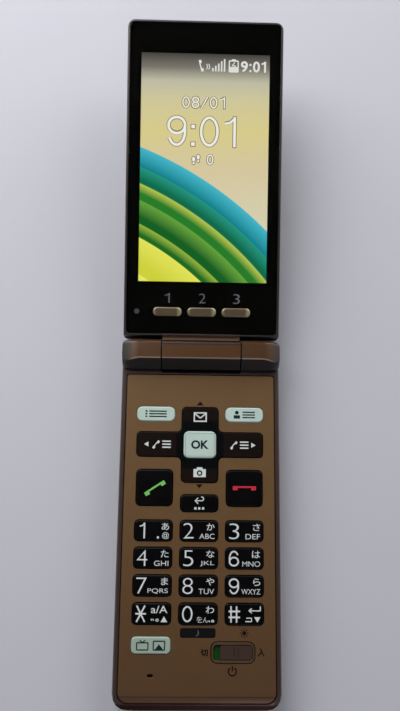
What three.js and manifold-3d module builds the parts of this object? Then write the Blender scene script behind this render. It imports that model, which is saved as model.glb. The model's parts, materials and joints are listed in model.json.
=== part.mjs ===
// Flip phone lying open on its back, in millimetres, +Z up, lid towards +Y
import * as THREE from "three";
import { mergeVertices } from "three/addons/utils/BufferGeometryUtils.js";
import Module from "manifold-3d";

const wasm = await Module();
wasm.setup();

// Sizes of the two halves and of the hinge axis between them
const phoneWidth = 51;
const baseReach = 107.5;
const baseThickness = 9.4;
const lidShy = 0.1;
const lidWidth = phoneWidth - 2 * lidShy;
const lidReach = 108.7;
const lidThickness = 7.6;
const closedGap = 0.55;
const axisAboveBase = 0.2;
const openFoldAngle = 10.33;

// Gaps, walls and overruns that the pieces share
const seam = 0.3;
const runningGap = 0.25;
const overrun = 1;
const wall = 1.4;
const boardThickness = 0.8;
const cornerSteps = 4;
const keyCornerSteps = 3;
const roundSides = 16;

// Base shells: outline corners, rounded edges and the line where they part
const baseLowRadius = 4.5;
const baseHighRadius = 2.6;
const baseTail = 4.2;
const partingHeight = 4.85;
const frontEdgeInset = 0.75;
const frontEdgeDepth = 1.7;
const rearEdgeInset = 3.3;
const rearEdgeDepth = 3.1;
const noseLength = 4.2;
const noseStart = baseReach - noseLength;
const noseDrop = 1;

// Panel of the keypad in its shallow tray
const rimWidth = 1.85;
const panelWidth = phoneWidth - 2 * rimWidth;
const panelThickness = 0.85;
const panelBelowRim = 0.2;
const panelTop = 6.9;
const panelTail = 2.1;
const panelEnd = baseReach - panelTail;
const panelLowRadius = 3;
const panelHighRadius = 0.8;
const ledgeWidth = 1.6;
const ledgeThickness = 0.7;
const micHoleWidth = 1.8;
const micHoleHeight = 1;
const micTail = 9.8;
const micBack = baseReach - micTail;

// Keys: travel, the flange that holds each cap in, and the rounded top edge
const keyTravel = 0.3;
const keyProud = 0.35;
const keyFlange = 0.4;
const flangeThickness = 0.35;
const keyEdge = 0.22;

// Columns and rows of keys; rows are counted from the menu keys in row pitches
const columnGap = 2.53;
const keySideMargin = 3.72;
const numberKeyWidth = (panelWidth - 2 * keySideMargin - 2 * columnGap) / 3;
const columnPitch = numberKeyWidth + columnGap;
const keyEdgeAcross = columnPitch + numberKeyWidth / 2;
const menuRowBack = 19.5;
const switchTail = 16.43;
const rowPlaceShares = { nav: 1.181, call: 2.84, back: 3.42, first: 4.446, photo: 8.55, switch: 8.794 };
const rowPitch = (baseReach - menuRowBack - switchTail) / rowPlaceShares.switch;
const rowBack = (placeShare) => menuRowBack + placeShare * rowPitch;

// Number keys in four rows and three columns
const rowGap = 1.93;
const numberKeyHeight = rowPitch - rowGap;
const numberKeyRadius = 1.2;

// Function keys above and below the number keys
const menuKeyWiden = 0.48;
const menuKeyShorten = 3.52;
const menuKeyRadius = 1.9;
const callKeyNarrow = 0.35;
const callKeyRowsShare = 1.354;
const callKeyRadius = 1.3;
const backKeyShorten = 3.03;
const backKeyRadius = 1.2;
const photoKeyWiden = 0.25;
const photoKeyShorten = 3.325;
const photoKeyRadius = 1.5;

// Direction key, its pivot plate and the key in its middle
const navRowsShare = 2.89;
const navArmNarrow = 0.2;
const navArmShorten = 0.52;
const navWidth = 2 * keyEdgeAcross;
const navHeight = navRowsShare * rowPitch;
const navArmWidth = numberKeyWidth - navArmNarrow;
const navArmHeight = rowPitch - navArmShorten;
const navBack = rowBack(rowPlaceShares.nav);
const navOuterRadius = 1.2;
const navInnerRadius = 1.6;
const navFlangeDrop = 0.1;
const okSideGap = 0.5;
const okOverlap = 0.46;
const okWidth = navArmWidth - 2 * okSideGap;
const okHeight = navArmHeight + 2 * okOverlap;
const okRadius = 1.7;
const okPlungerShare = 0.48;
const pivotPlateSide = 11.5;
const pivotPlateThickness = 0.3;
const pivotHoleSide = 6.6;
const pivotGap = 0.24;

// Sliding power switch
const bezelWidth = 13;
const bezelHeight = 5.8;
const bezelRadius = 1.7;
const windowWidth = 12;
const windowHeight = 4.5;
const windowRadius = 1;
const sliderWidth = 9.7;
const sliderBelowBezel = 0.15;
const sliderThickness = 0.55;
const sliderRibDepth = 0.12;
const sliderRibPitch = 1.2;
const sliderRibCount = 2;
const stemWidth = 1.8;
const stemHeight = 1.1;
const bezelInset = 2.77;
const switchAcross = keyEdgeAcross - bezelInset - bezelWidth / 2;
const switchBack = rowBack(rowPlaceShares.switch);
const switchUnitWidth = 9;
const switchUnitHeight = 4;

// Rubber key mat and the boards below it
const matMargin = 0.92;
const matWidth = 2 * (keyEdgeAcross + matMargin);
const matThickness = 0.4;
const matBeyondKeys = 1.65;
const matTop = menuRowBack - rowPitch / 2 + seam / 2;
const matEnd = switchBack + matBeyondKeys;
const matCornerGap = 0.85;
const domeRadius = 1.5;
const domeHeight = 0.4;
const domeClearance = 0.05;
const domeSides = 8;
const boardInset = 3.8;
const boardTail = 8;
const boardWidth = phoneWidth - 2 * boardInset;
const boardTop = 9;
const boardEnd = baseReach - boardTail;

// Battery, its cover and the pieces round it
const batterySideMargin = 7.5;
const batteryWidth = phoneWidth - 2 * batterySideMargin;
const batteryRadius = 1.2;
const batteryHighBack = 31;
const batteryTail = 26.5;
const batteryLength = baseReach - batteryHighBack - batteryTail;
const coverThickness = 1;
const coverHighBack = 18;
const coverTail = 7.5;
const coverLength = baseReach - coverHighBack - coverTail;
const coverRise = 4;
const terminalWidth = 10;
const terminalDepth = 2.6;
const motorRadius = 3.9;
const motorThickness = 2.4;
const motorInset = 8.3;
const motorAcross = phoneWidth / 2 - motorInset;
const motorBack = 15.2;
const motorGap = 1.3;
const shieldWidth = 2 * (motorAcross - motorRadius - motorGap);
const shieldLength = 15;
const shieldBack = 19;
const tailPartsTail = 15.5;
const tailPartsBack = baseReach - tailPartsTail;
const micRadius = 1.9;
const micThickness = 1.3;

// Connector in the left side and the flap that shuts it
const socketLength = 7.6;
const socketDepth = 5.6;
const socketThickness = 2.4;
const socketBack = 18;
const flapLength = 11;
const flapHeight = 3.6;
const flapThickness = 0.9;

// Four case screws with their bosses
const screwInset = 4.6;
const screwAcross = phoneWidth / 2 - screwInset;
const screwHighBack = 26;
const screwBacks = [screwHighBack, tailPartsBack];
const screwHeadRadius = 1.6;
const screwHeadThickness = 0.8;
const screwShankRadius = 0.8;
const bossRadius = 1.95;
const lugThickness = 1.2;

// Loudspeaker and card socket between the two lower screws
const tailMiddleGap = 2;
const tailSideGap = 1.65;
const speakerWidth = screwAcross - bossRadius - seam - tailSideGap - tailMiddleGap;
const speakerLength = 11;
const speakerAcross = tailMiddleGap + speakerWidth / 2;
const simNarrow = 1;
const simWidth = speakerWidth - simNarrow;
const simLength = 12;
const simThickness = 1.7;

// Hinge: knuckles on the base, barrel on the lid, cam unit and hollow pin
const barrelRadius = 5.5;
const barrelLength = 25.2;
const knuckleShy = 0.2;
const knuckleEndDepth = 5.6;
const slotLip = 0.4;
const slotLipDepth = 1.2;
const camCaseRadius = 3.3;
const camCaseGap = 2.3;
const camFlatShare = 0.82;
const shaftRadius = 1.6;
const shaftShort = 2.25;
const shaftHeadLength = 5.5;
const pinRadius = 2.7;
const pinBoreRadius = 1.5;
const pinGap = 4.55;
const capRadius = 2.3;
const capThickness = 0.9;
const capDome = 0.25;

// Lid shells, window and display
const lidHighRadius = 2.4;
const lidLowRadius = 1.2;
const lidHeel = 4.7;
const lidFrameThickness = 3.25;
const lidRimInset = 0.35;
const lidRimDepth = 0.6;
const lidBackInset = 2.7;
const lidBackDepth = 2.6;
const lidRimWidth = 0.9;
const lidTopRim = 0.95;
const windowGlassWidth = lidWidth - 2 * lidRimWidth;
const windowGlassLow = 6.6;
const windowGlassHigh = lidReach - lidTopRim;
const windowGlassThickness = 0.8;
const windowBelowRim = 0.05;
const windowCorner = 1.5;
const displaySideGap = 2;
const displayTopGap = 6.15;
const displayWidth = windowGlassWidth - 2 * displaySideGap;
const displayLow = 20.6;
const displayHigh = windowGlassHigh - displayTopGap;
const displayThickness = 2;
const displayCorner = 0.8;
const neckLow = 4.9;
const neckTop = 0.95;
const neckReach = 3.8;

// Three quick keys under the display, the board behind them and the receiver
const quickKeyWidth = 9.3;
const quickKeyHeight = 2.95;
const quickKeyPitch = 11.2;
const quickKeyBack = 13.75;
const quickKeyProud = 0.25;
const quickKeyRadius = 1.35;
const lidBoardSideGap = 3.5;
const lidBoardWidth = windowGlassWidth - 2 * lidBoardSideGap;
const lidBoardHeight = 9;
const receiverWidth = 12;
const receiverHeight = 3;
const receiverThickness = 1.6;

// Outer side of the lid: small second window and camera
const subWindowWidth = 22;
const subWindowHeight = 11;
const subWindowRadius = 1.4;
const subWindowTail = 38.7;
const subWindowBack = lidReach - subWindowTail;
const subWindowThickness = 0.7;
const lensRadius = 3.6;
const lensThickness = 1.2;
const lensTail = 16.7;
const lensBack = lidReach - lensTail;
const lensGlassShare = 0.6;
const lensDish = 0.3;

// Heights and places worked out from the sizes above
const axisY = baseReach / 2;
const axisZ = baseThickness + axisAboveBase;
const lidFace = axisAboveBase - closedGap;
const lidBack = lidFace - lidThickness;
const frontLow = partingHeight + seam / 2;
const rearHigh = partingHeight - seam / 2;
const panelHigh = baseThickness - panelBelowRim;
const panelLow = panelHigh - panelThickness;
const keyTopZ = panelHigh + keyProud;
const flangeTopZ = panelLow - seam - navFlangeDrop;
const keyLowZ = flangeTopZ - flangeThickness;
const domeTopZ = keyLowZ - keyTravel - domeClearance;
const matTopZ = domeTopZ - domeHeight;
const matLowZ = matTopZ - matThickness;
const boardTopZ = matLowZ - seam;
const boardLowZ = boardTopZ - boardThickness;
const ledgeTopZ = panelLow - seam;
const floorTopZ = coverThickness + seam + coverThickness;
const slotRadius = barrelRadius + seam;
const slotSides = 36;
const knuckleInner = barrelLength / 2 + runningGap;
const knuckleOuter = phoneWidth / 2 - knuckleShy;
const knuckleRoom = knuckleOuter - capThickness - knuckleInner;
const camCaseLength = knuckleRoom - camCaseGap;
const shaftReach = camCaseLength - shaftShort;
const pinLength = 2 * (knuckleRoom - pinGap);

// Turns a distance from the hinge axis towards the free end into a place along Y
const fromAxis = (distance) => axisY - distance;

// Geometry into a solid that can be joined and cut, and back
function solidOf(geometry) {
  const bare = geometry.clone();
  bare.deleteAttribute("normal");
  bare.deleteAttribute("uv");
  const merged = mergeVertices(bare);
  const mesh = new wasm.Mesh({
    numProp: 3,
    vertProperties: merged.attributes.position.array,
    triVerts: new Uint32Array(merged.index.array),
  });
  mesh.merge();
  return new wasm.Manifold(mesh);
}

function geometryOf(solid) {
  const { vertProperties, triVerts } = solid.getMesh();
  const geometry = new THREE.BufferGeometry();
  geometry.setAttribute("position", new THREE.BufferAttribute(new Float32Array(vertProperties), 3));
  geometry.setIndex(new THREE.BufferAttribute(new Uint32Array(triVerts), 1));
  const flat = geometry.toNonIndexed();
  flat.computeVertexNormals();
  return flat;
}

// Outline with rounded corners; radii are for the low-y and the high-y corners
function roundedOutline(halfX, lowY, highY, lowRadius, highRadius = lowRadius, steps = cornerSteps) {
  const corners = [
    [halfX, lowY, -1, 1, lowRadius, 3],
    [halfX, highY, -1, -1, highRadius, 0],
    [-halfX, highY, 1, -1, highRadius, 1],
    [-halfX, lowY, 1, 1, lowRadius, 2],
  ];
  const points = [];
  for (const [x, y, inX, inY, radius, quarter] of corners) {
    for (let step = 0; step <= steps; step += 1) {
      const angle = (quarter + step / steps) * Math.PI / 2;
      const centreX = x + inX * radius;
      const centreY = y + inY * radius;
      points.push(new THREE.Vector2(centreX + radius * Math.cos(angle), centreY + radius * Math.sin(angle)));
    }
  }
  return points;
}

// Closed solid through outlines of equal count that lie one above the other
function stack(levels) {
  const count = levels[0].points.length;
  const positions = levels.flatMap(({ z, points }) => points.flatMap((point) => [point.x, point.y, z]));
  const index = [];
  for (const [a, b, c] of THREE.ShapeUtils.triangulateShape(levels[0].points, [])) {
    index.push(a, c, b);
  }
  const last = (levels.length - 1) * count;
  for (const [a, b, c] of THREE.ShapeUtils.triangulateShape(levels.at(-1).points, [])) {
    index.push(last + a, last + b, last + c);
  }
  for (let level = 0; level < levels.length - 1; level += 1) {
    for (let side = 0; side < count; side += 1) {
      const a = level * count + side;
      const b = level * count + (side + 1) % count;
      index.push(a, b, b + count, a, b + count, a + count);
    }
  }
  const geometry = new THREE.BufferGeometry();
  geometry.setAttribute("position", new THREE.Float32BufferAttribute(positions, 3));
  geometry.setIndex(index);
  return geometry;
}

const plate = (points, low, high) => stack([{ z: low, points }, { z: high, points }]);

const block = (x0, x1, y0, y1, z0, z1) =>
  new THREE.BoxGeometry(x1 - x0, y1 - y0, z1 - z0).translate((x0 + x1) / 2, (y0 + y1) / 2, (z0 + z1) / 2);

const post = (radius, x, y, low, high, sides = roundSides) =>
  new THREE.CylinderGeometry(radius, radius, high - low, sides)
    .rotateX(Math.PI / 2)
    .translate(x, y, (low + high) / 2);

const axle = (radius, x0, x1, y, z, sides = roundSides) =>
  new THREE.CylinderGeometry(radius, radius, x1 - x0, sides)
    .rotateZ(Math.PI / 2)
    .translate((x0 + x1) / 2, y, z);

const cut = (body, ...tools) => tools.reduce((rest, tool) => rest.subtract(solidOf(tool)), body);
const join = (body, ...parts) => parts.reduce((sum, part) => sum.add(solidOf(part)), body);

// Levels of a quarter-round edge, from the face back to the full outline
function edgeLevels(face, towards, depth, inset, steps = 3) {
  const levels = [];
  for (let step = 0; step <= steps; step += 1) {
    const angle = step / steps * Math.PI / 2;
    levels.push({ z: face + towards * depth * (1 - Math.cos(angle)), inset: inset * (1 - Math.sin(angle)) });
  }
  return levels;
}

// Base outline drawn in by an inset, at one height
function baseLevel({ z, inset }) {
  const low = -baseReach / 2 + inset;
  const high = axisY + baseTail - inset;
  const lowRadius = Math.max(baseLowRadius - inset, seam);
  const highRadius = Math.max(baseHighRadius - inset, seam);
  return { z, points: roundedOutline(phoneWidth / 2 - inset, low, high, lowRadius, highRadius) };
}

function rearForm(shrink) {
  const levels = edgeLevels(shrink, 1, rearEdgeDepth, rearEdgeInset, 4);
  levels.push({ z: rearHigh + (shrink > 0 ? overrun : 0), inset: 0 });
  return solidOf(stack(levels.map(({ z, inset }) => baseLevel({ z, inset: inset + shrink }))));
}

// Cross-section of the hinge as shares of its radius: flat top, ridge and sloping front
const ridgeShares = [[0.53, 0.84], [-0.32, 0.845], [-0.4, 0.825]];
const roundShares = [
  [-0.92, 0.27], [-0.955, 0.18], [-0.96, 0], [-0.89, -0.33], [-0.67, -0.64], [-0.36, -0.82], [0, -0.855],
  [0.35, -0.8], [0.62, -0.64], [0.78, -0.35], [0.82, 0], [0.79, 0.31], [0.69, 0.6], [0.59, 0.79],
];
const frontSlopeShare = 0.94;

// Section whose flat top has sunk by a share, so that the ridge slides down the sloping front
function hingeSection(sunkShare) {
  const ridge = ridgeShares.map(([y, z]) => [y < 0 ? y - sunkShare * frontSlopeShare : y, z - sunkShare]);
  const [, low] = ridge[2];
  return [...ridge, ...roundShares.map(([y, z]) => [y, Math.min(z, low)])];
}

// Hinge section swept along X, smaller and with a lower top towards a rounded end
function hingeSweep(places) {
  const levels = places.map(([x, share, sunkShare]) => ({
    z: x,
    points: hingeSection(sunkShare).map(([y, z]) => {
      return new THREE.Vector2(y * share * barrelRadius, z * share * barrelRadius);
    }),
  }));
  const toX = new THREE.Matrix4().makeBasis(
    new THREE.Vector3(0, 1, 0), new THREE.Vector3(0, 0, 1), new THREE.Vector3(1, 0, 0));
  return stack(levels).applyMatrix4(toX);
}

const knuckleEndShares = [
  [1, 1, 0], [0.72, 1, 0.04], [0.5, 1, 0.11], [0.275, 0.965, 0.165], [0.11, 0.9, 0.185], [0.03, 0.82, 0.16],
  [0, 0.74, 0.12],
];

function knuckle(side) {
  const places = knuckleEndShares.map(([depthShare, sizeShare, sunkShare]) => {
    return [side * (knuckleOuter - depthShare * knuckleEndDepth), sizeShare, sunkShare];
  });
  places.unshift([side * knuckleInner, 1, 0]);
  if (side < 0) places.reverse();
  return hingeSweep(places).translate(0, axisY, axisZ);
}

// Room for the lid's barrel between the knuckles
function barrelSlot() {
  const round = axle(slotRadius, -knuckleInner, knuckleInner, axisY, axisZ, slotSides);
  const open = block(-knuckleInner, knuckleInner, axisY, axisY + barrelRadius + overrun,
    axisZ - slotRadius, axisZ + barrelRadius + overrun);
  const lip = block(-knuckleInner, knuckleInner, axisY - slotRadius - slotLip, axisY,
    baseThickness - slotLipDepth, axisZ + barrelRadius + overrun);
  return [round, open, lip];
}

const screwPlaces = screwBacks.flatMap((back) => [-1, 1].map((side) => [side * screwAcross, fromAxis(back)]));

const socketY = fromAxis(socketBack);
const socketZ = partingHeight - socketThickness / 2 + seam;
const flapOutline = (clear) => block(-phoneWidth / 2 - overrun, -phoneWidth / 2 + flapThickness + clear,
  socketY - flapLength / 2 - clear, socketY + flapLength / 2 + clear,
  socketZ - flapHeight / 2 - clear, socketZ + flapHeight / 2 + clear);
const socketTunnel = () => block(-phoneWidth / 2 - overrun, -phoneWidth / 2 + wall * 3,
  socketY - socketLength / 2 - seam, socketY + socketLength / 2 + seam,
  socketZ - socketThickness / 2 - seam, socketZ + socketThickness / 2 + seam);

// Upper shell of the base with its rim, ledge and outer hinge knuckles
function keypadHousing() {
  const top = edgeLevels(baseThickness, -1, frontEdgeDepth, frontEdgeInset).reverse();
  const levels = [{ z: frontLow, inset: 0 }, ...top];
  const panelHalf = panelWidth / 2 + seam;
  const trayLow = fromAxis(panelEnd + seam);
  const trayHigh = fromAxis(panelTop - seam);
  const tray = roundedOutline(panelHalf, trayLow, trayHigh, panelLowRadius, panelHighRadius);
  const cavity = roundedOutline(phoneWidth / 2 - wall, -baseReach / 2 + wall, trayHigh,
    baseLowRadius - wall, panelHighRadius);
  const frame = roundedOutline(panelHalf - ledgeWidth, trayLow + ledgeWidth, trayHigh - ledgeWidth,
    panelHighRadius);
  let body = solidOf(stack(levels.map(baseLevel)));
  body = cut(body,
    plate(tray, ledgeTopZ, baseThickness + overrun),
    plate(cavity, frontLow - overrun, ledgeTopZ - ledgeThickness),
    plate(frame, ledgeTopZ - ledgeThickness - seam, ledgeTopZ + seam));
  for (const [x, y] of screwPlaces) {
    const outer = Math.sign(x) * (phoneWidth / 2 - wall / 2);
    body = join(body, block(Math.min(x, outer), Math.max(x, outer), y - bossRadius, y + bossRadius,
      frontLow, frontLow + lugThickness));
    body = join(body, post(bossRadius, x, y, frontLow, frontLow + lugThickness));
    body = cut(body, post(screwShankRadius + seam, x, y, frontLow - overrun,
      frontLow + lugThickness + overrun));
  }
  body = join(body, knuckle(1), knuckle(-1));
  body = cut(body, ...barrelSlot(), noseWedge(baseThickness),
    axle(camCaseRadius + seam, 0, knuckleInner + camCaseLength + seam, axisY, axisZ),
    axle(pinRadius + runningGap, -knuckleInner - pinLength / 2 - seam, 0, axisY, axisZ),
    axle(capRadius + seam, knuckleOuter - capThickness - seam, phoneWidth, axisY, axisZ),
    axle(capRadius + seam, -phoneWidth, capThickness + seam - knuckleOuter, axisY, axisZ),
    flapOutline(seam), socketTunnel());
  return body;
}

// Wedge that slopes the top down at the free end, so that a thumb finds the lid
function noseWedge(height) {
  const run = baseReach - noseStart;
  const start = fromAxis(noseStart);
  const slope = noseDrop / run;
  const reach = run + overrun;
  const shape = new THREE.Shape([
    new THREE.Vector2(start, height),
    new THREE.Vector2(start, height + overrun),
    new THREE.Vector2(start - reach, height + overrun),
    new THREE.Vector2(start - reach, height - slope * reach),
  ].reverse());
  const wedge = new THREE.ExtrudeGeometry(shape, { depth: phoneWidth + overrun, bevelEnabled: false });
  const toX = new THREE.Matrix4().makeBasis(
    new THREE.Vector3(0, 1, 0), new THREE.Vector3(0, 0, 1), new THREE.Vector3(1, 0, 0));
  return wedge.applyMatrix4(toX).translate(-(phoneWidth + overrun) / 2, 0, 0);
}

// Lower shell of the base, sunk under the battery cover and open for the battery
function rearHousing() {
  const coverLow = fromAxis(coverHighBack + coverLength);
  const coverHigh = fromAxis(coverHighBack);
  const sink = coverThickness + seam;
  const zone = solidOf(block(-phoneWidth, phoneWidth, coverLow - seam, coverHigh + seam,
    -overrun, coverRise + seam));
  const inner = wall + coverThickness + seam;
  const cavityHigh = fromAxis(panelTop);
  const cavity = roundedOutline(phoneWidth / 2 - inner, -baseReach / 2 + inner, cavityHigh,
    baseLowRadius - wall, panelHighRadius);
  const batteryLow = fromAxis(batteryHighBack + batteryLength);
  const bay = roundedOutline(batteryWidth / 2 + seam, batteryLow - seam, fromAxis(batteryHighBack) + seam,
    batteryRadius);
  let body = rearForm(0).subtract(zone.subtract(rearForm(sink)));
  body = cut(body, plate(cavity, floorTopZ, rearHigh + overrun), plate(bay, 0, floorTopZ + overrun));
  for (const [x, y] of screwPlaces) {
    body = join(body, post(bossRadius + seam, x, y, sink + seam, rearHigh));
    body = cut(body,
      post(screwShankRadius + seam, x, y, 0, rearHigh + overrun),
      post(screwHeadRadius + seam, x, y, 0, sink + seam + screwHeadThickness));
  }
  return cut(body, ...barrelSlot(), flapOutline(seam), socketTunnel());
}

// Snap-on battery cover that wraps the rounded back
function batteryCover() {
  const low = fromAxis(coverHighBack + coverLength);
  const high = fromAxis(coverHighBack);
  const zone = solidOf(block(-phoneWidth, phoneWidth, low, high, -overrun, coverRise));
  return cut(rearForm(0).intersect(zone).subtract(rearForm(coverThickness)), flapOutline(seam));
}

// Corner radius of a key, limited where the key is low
const cornerWithin = (radius, height) => Math.min(radius, (height - seam) / 2);

// Key cap with a flange below the panel and a rounded top edge
function keyCap({ width, height, radius, x, back }) {
  const y = fromAxis(back);
  const outline = (grow) => roundedOutline(width / 2 + grow, y - height / 2 - grow, y + height / 2 + grow,
    Math.max(radius + grow, keyEdge), undefined, keyCornerSteps)
    .map((point) => new THREE.Vector2(point.x + x, point.y));
  const soft = keyEdge * (1 - Math.SQRT1_2);
  return solidOf(stack([
    { z: keyLowZ, points: outline(keyFlange) },
    { z: flangeTopZ, points: outline(keyFlange) },
    { z: flangeTopZ, points: outline(0) },
    { z: keyTopZ - keyEdge, points: outline(0) },
    { z: keyTopZ - soft, points: outline(-soft) },
    { z: keyTopZ, points: outline(-keyEdge) },
  ]));
}

const numberNames = ["1", "2", "3", "4", "5", "6", "7", "8", "9", "star", "0", "hash"];
const numberKeys = numberNames.map((name, place) => ({
  name: `key_${name}`,
  width: numberKeyWidth,
  height: numberKeyHeight,
  radius: cornerWithin(numberKeyRadius, numberKeyHeight),
  x: (place % 3 - 1) * columnPitch,
  back: rowBack(rowPlaceShares.first + Math.floor(place / 3)),
}));
const menuKeyHeight = rowPitch - menuKeyShorten;
const menuKey = { width: numberKeyWidth + menuKeyWiden, height: menuKeyHeight,
  radius: cornerWithin(menuKeyRadius, menuKeyHeight), back: menuRowBack };
const callKeyHeight = callKeyRowsShare * rowPitch;
const callKey = { width: numberKeyWidth - callKeyNarrow, height: callKeyHeight,
  radius: cornerWithin(callKeyRadius, callKeyHeight), back: rowBack(rowPlaceShares.call) };
const backKeyHeight = rowPitch - backKeyShorten;
const photoKeyHeight = rowPitch - photoKeyShorten;
const functionKeys = [
  { ...menuKey, name: "menu_key", x: -columnPitch },
  { ...menuKey, name: "contacts_key", x: columnPitch },
  { ...callKey, name: "call_key", x: -columnPitch },
  { ...callKey, name: "end_key", x: columnPitch },
  { name: "back_key", width: numberKeyWidth, height: backKeyHeight, x: 0,
    radius: cornerWithin(backKeyRadius, backKeyHeight), back: rowBack(rowPlaceShares.back) },
  { name: "photo_key", width: numberKeyWidth + photoKeyWiden, height: photoKeyHeight, x: -columnPitch,
    radius: cornerWithin(photoKeyRadius, photoKeyHeight), back: rowBack(rowPlaceShares.photo) },
];
const capKeys = [...numberKeys, ...functionKeys];
const litNames = ["menu_key", "contacts_key", "photo_key"];

// Cross outline with round outer corners and hollow inner ones
function crossOutline(grow) {
  const halfX = navWidth / 2 + grow;
  const halfY = navHeight / 2 + grow;
  const armX = navArmWidth / 2 + grow;
  const armY = navArmHeight / 2 + grow;
  const outer = Math.max(navOuterRadius + grow, keyEdge);
  const inner = Math.max(navInnerRadius - grow, keyEdge);
  const quarter = [
    { x: halfX - outer, y: armY - outer, radius: outer, from: 0, to: 1 },
    { x: armX + inner, y: armY + inner, radius: inner, from: 3, to: 2 },
    { x: armX - outer, y: halfY - outer, radius: outer, from: 0, to: 1 },
  ];
  const arcs = quarter.flatMap(({ x, y, radius, from, to }) => [0, 1, 2, 3].map((step) => {
    const angle = (from + (to - from) * step / 3) * Math.PI / 2;
    return [x + radius * Math.cos(angle), y + radius * Math.sin(angle)];
  }));
  const mirrored = (flipX, flipY) => {
    const points = arcs.map(([x, y]) => new THREE.Vector2(flipX * x, flipY * y + fromAxis(navBack)));
    return flipX * flipY < 0 ? points.reverse() : points;
  };
  return [...mirrored(1, 1), ...mirrored(-1, 1), ...mirrored(-1, -1), ...mirrored(1, -1)];
}

const okOutline = (grow, share = 1) => roundedOutline(okWidth / 2 * share + grow,
  fromAxis(navBack) - okHeight / 2 * share - grow, fromAxis(navBack) + okHeight / 2 * share + grow,
  Math.max(okRadius * share + grow, keyEdge), undefined, keyCornerSteps);

// Four-way key: a cross with a window for the middle key
function navKey() {
  const soft = keyEdge * (1 - Math.SQRT1_2);
  const body = solidOf(stack([
    { z: keyLowZ, points: crossOutline(keyFlange) },
    { z: flangeTopZ - navFlangeDrop, points: crossOutline(keyFlange) },
    { z: flangeTopZ - navFlangeDrop, points: crossOutline(0) },
    { z: keyTopZ - keyEdge, points: crossOutline(0) },
    { z: keyTopZ - soft, points: crossOutline(-soft) },
    { z: keyTopZ, points: crossOutline(-keyEdge) },
  ]));
  return cut(body, plate(okOutline(runningGap), keyLowZ - overrun, keyTopZ + overrun));
}

// Middle key: cap above and a narrow plunger that reaches through the pivot plate
function okKey() {
  const capLow = flangeTopZ + flangeThickness;
  const soft = keyEdge * (1 - Math.SQRT1_2);
  return solidOf(stack([
    { z: keyLowZ, points: okOutline(0, okPlungerShare) },
    { z: capLow, points: okOutline(0, okPlungerShare) },
    { z: capLow, points: okOutline(0) },
    { z: keyTopZ - keyEdge, points: okOutline(0) },
    { z: keyTopZ - soft, points: okOutline(-soft) },
    { z: keyTopZ, points: okOutline(-keyEdge) },
  ]));
}

const pivotTopZ = keyLowZ - pivotGap;
const squareOutline = (side) => roundedOutline(side / 2, fromAxis(navBack) - side / 2,
  fromAxis(navBack) + side / 2, navOuterRadius);

function navPivot() {
  const ring = solidOf(plate(squareOutline(pivotPlateSide), pivotTopZ - pivotPlateThickness, pivotTopZ));
  return cut(ring, plate(squareOutline(pivotHoleSide), matLowZ, keyLowZ));
}

// Plates with rounded corners round a place on the base
const patch = (width, height, radius, x, back, grow = 0) => {
  const y = fromAxis(back);
  const outline = roundedOutline(width / 2 + grow, y - height / 2 - grow, y + height / 2 + grow,
    radius + grow, undefined, keyCornerSteps);
  return outline.map((point) => new THREE.Vector2(point.x + x, point.y));
};

// Gold panel with an opening for each key, the switch and the microphone
function keypadPanel() {
  const outline = roundedOutline(panelWidth / 2, fromAxis(panelEnd), fromAxis(panelTop), panelLowRadius,
    panelHighRadius);
  const low = panelLow - overrun;
  const high = panelHigh + overrun;
  const holes = capKeys.map(({ width, height, radius, x, back }) => {
    return plate(patch(width, height, radius, x, back, runningGap), low, high);
  });
  return cut(solidOf(plate(outline, panelLow, panelHigh)), ...holes,
    plate(crossOutline(runningGap), low, high),
    plate(patch(bezelWidth, bezelHeight, bezelRadius, switchAcross, switchBack, seam), low, high),
    plate(patch(micHoleWidth, micHoleHeight, micHoleHeight / 2 - seam / 3, -columnPitch, micBack), low, high),
    noseWedge(panelHigh));
}

const bezelTopZ = baseThickness;
const bezelLowZ = panelLow - seam;
const sliderTopZ = bezelTopZ - sliderBelowBezel;
const sliderLowZ = sliderTopZ - sliderThickness;

// Bezel of the switch: a small tray with a slot for the slider's stem
function switchBezel() {
  const slotWidth = windowWidth - sliderWidth + stemWidth + seam;
  const y = fromAxis(switchBack);
  const tray = patch(bezelWidth, bezelHeight, bezelRadius, switchAcross, switchBack);
  const opening = patch(windowWidth, windowHeight, windowRadius, switchAcross, switchBack);
  return cut(solidOf(plate(tray, bezelLowZ, bezelTopZ)),
    plate(opening, sliderLowZ - seam, bezelTopZ + overrun),
    block(switchAcross - slotWidth / 2, switchAcross + slotWidth / 2,
      y - stemHeight / 2 - seam, y + stemHeight / 2 + seam, bezelLowZ - overrun, sliderTopZ));
}

// Slider at ON: against the right end of its window, with finger grooves
const sliderCentre = switchAcross + (windowWidth - sliderWidth) / 2 - runningGap / 2;

function powerSlider() {
  const y = fromAxis(switchBack);
  const height = windowHeight - 2 * runningGap;
  const grooveHalf = (height - sliderRibPitch) / 2;
  const outline = patch(sliderWidth, height, windowRadius / 2, sliderCentre, switchBack);
  let body = solidOf(plate(outline, sliderLowZ, sliderTopZ));
  for (let rib = 0; rib < sliderRibCount; rib += 1) {
    const x = sliderCentre + (rib - (sliderRibCount - 1) / 2) * sliderRibPitch;
    body = cut(body, block(x - sliderRibDepth, x + sliderRibDepth, y - grooveHalf, y + grooveHalf,
      sliderTopZ - sliderRibDepth, sliderTopZ + overrun));
  }
  return join(body, block(sliderCentre - stemWidth / 2, sliderCentre + stemWidth / 2,
    y - stemHeight / 2, y + stemHeight / 2, bezelLowZ, sliderLowZ + sliderThickness / 2));
}

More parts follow.
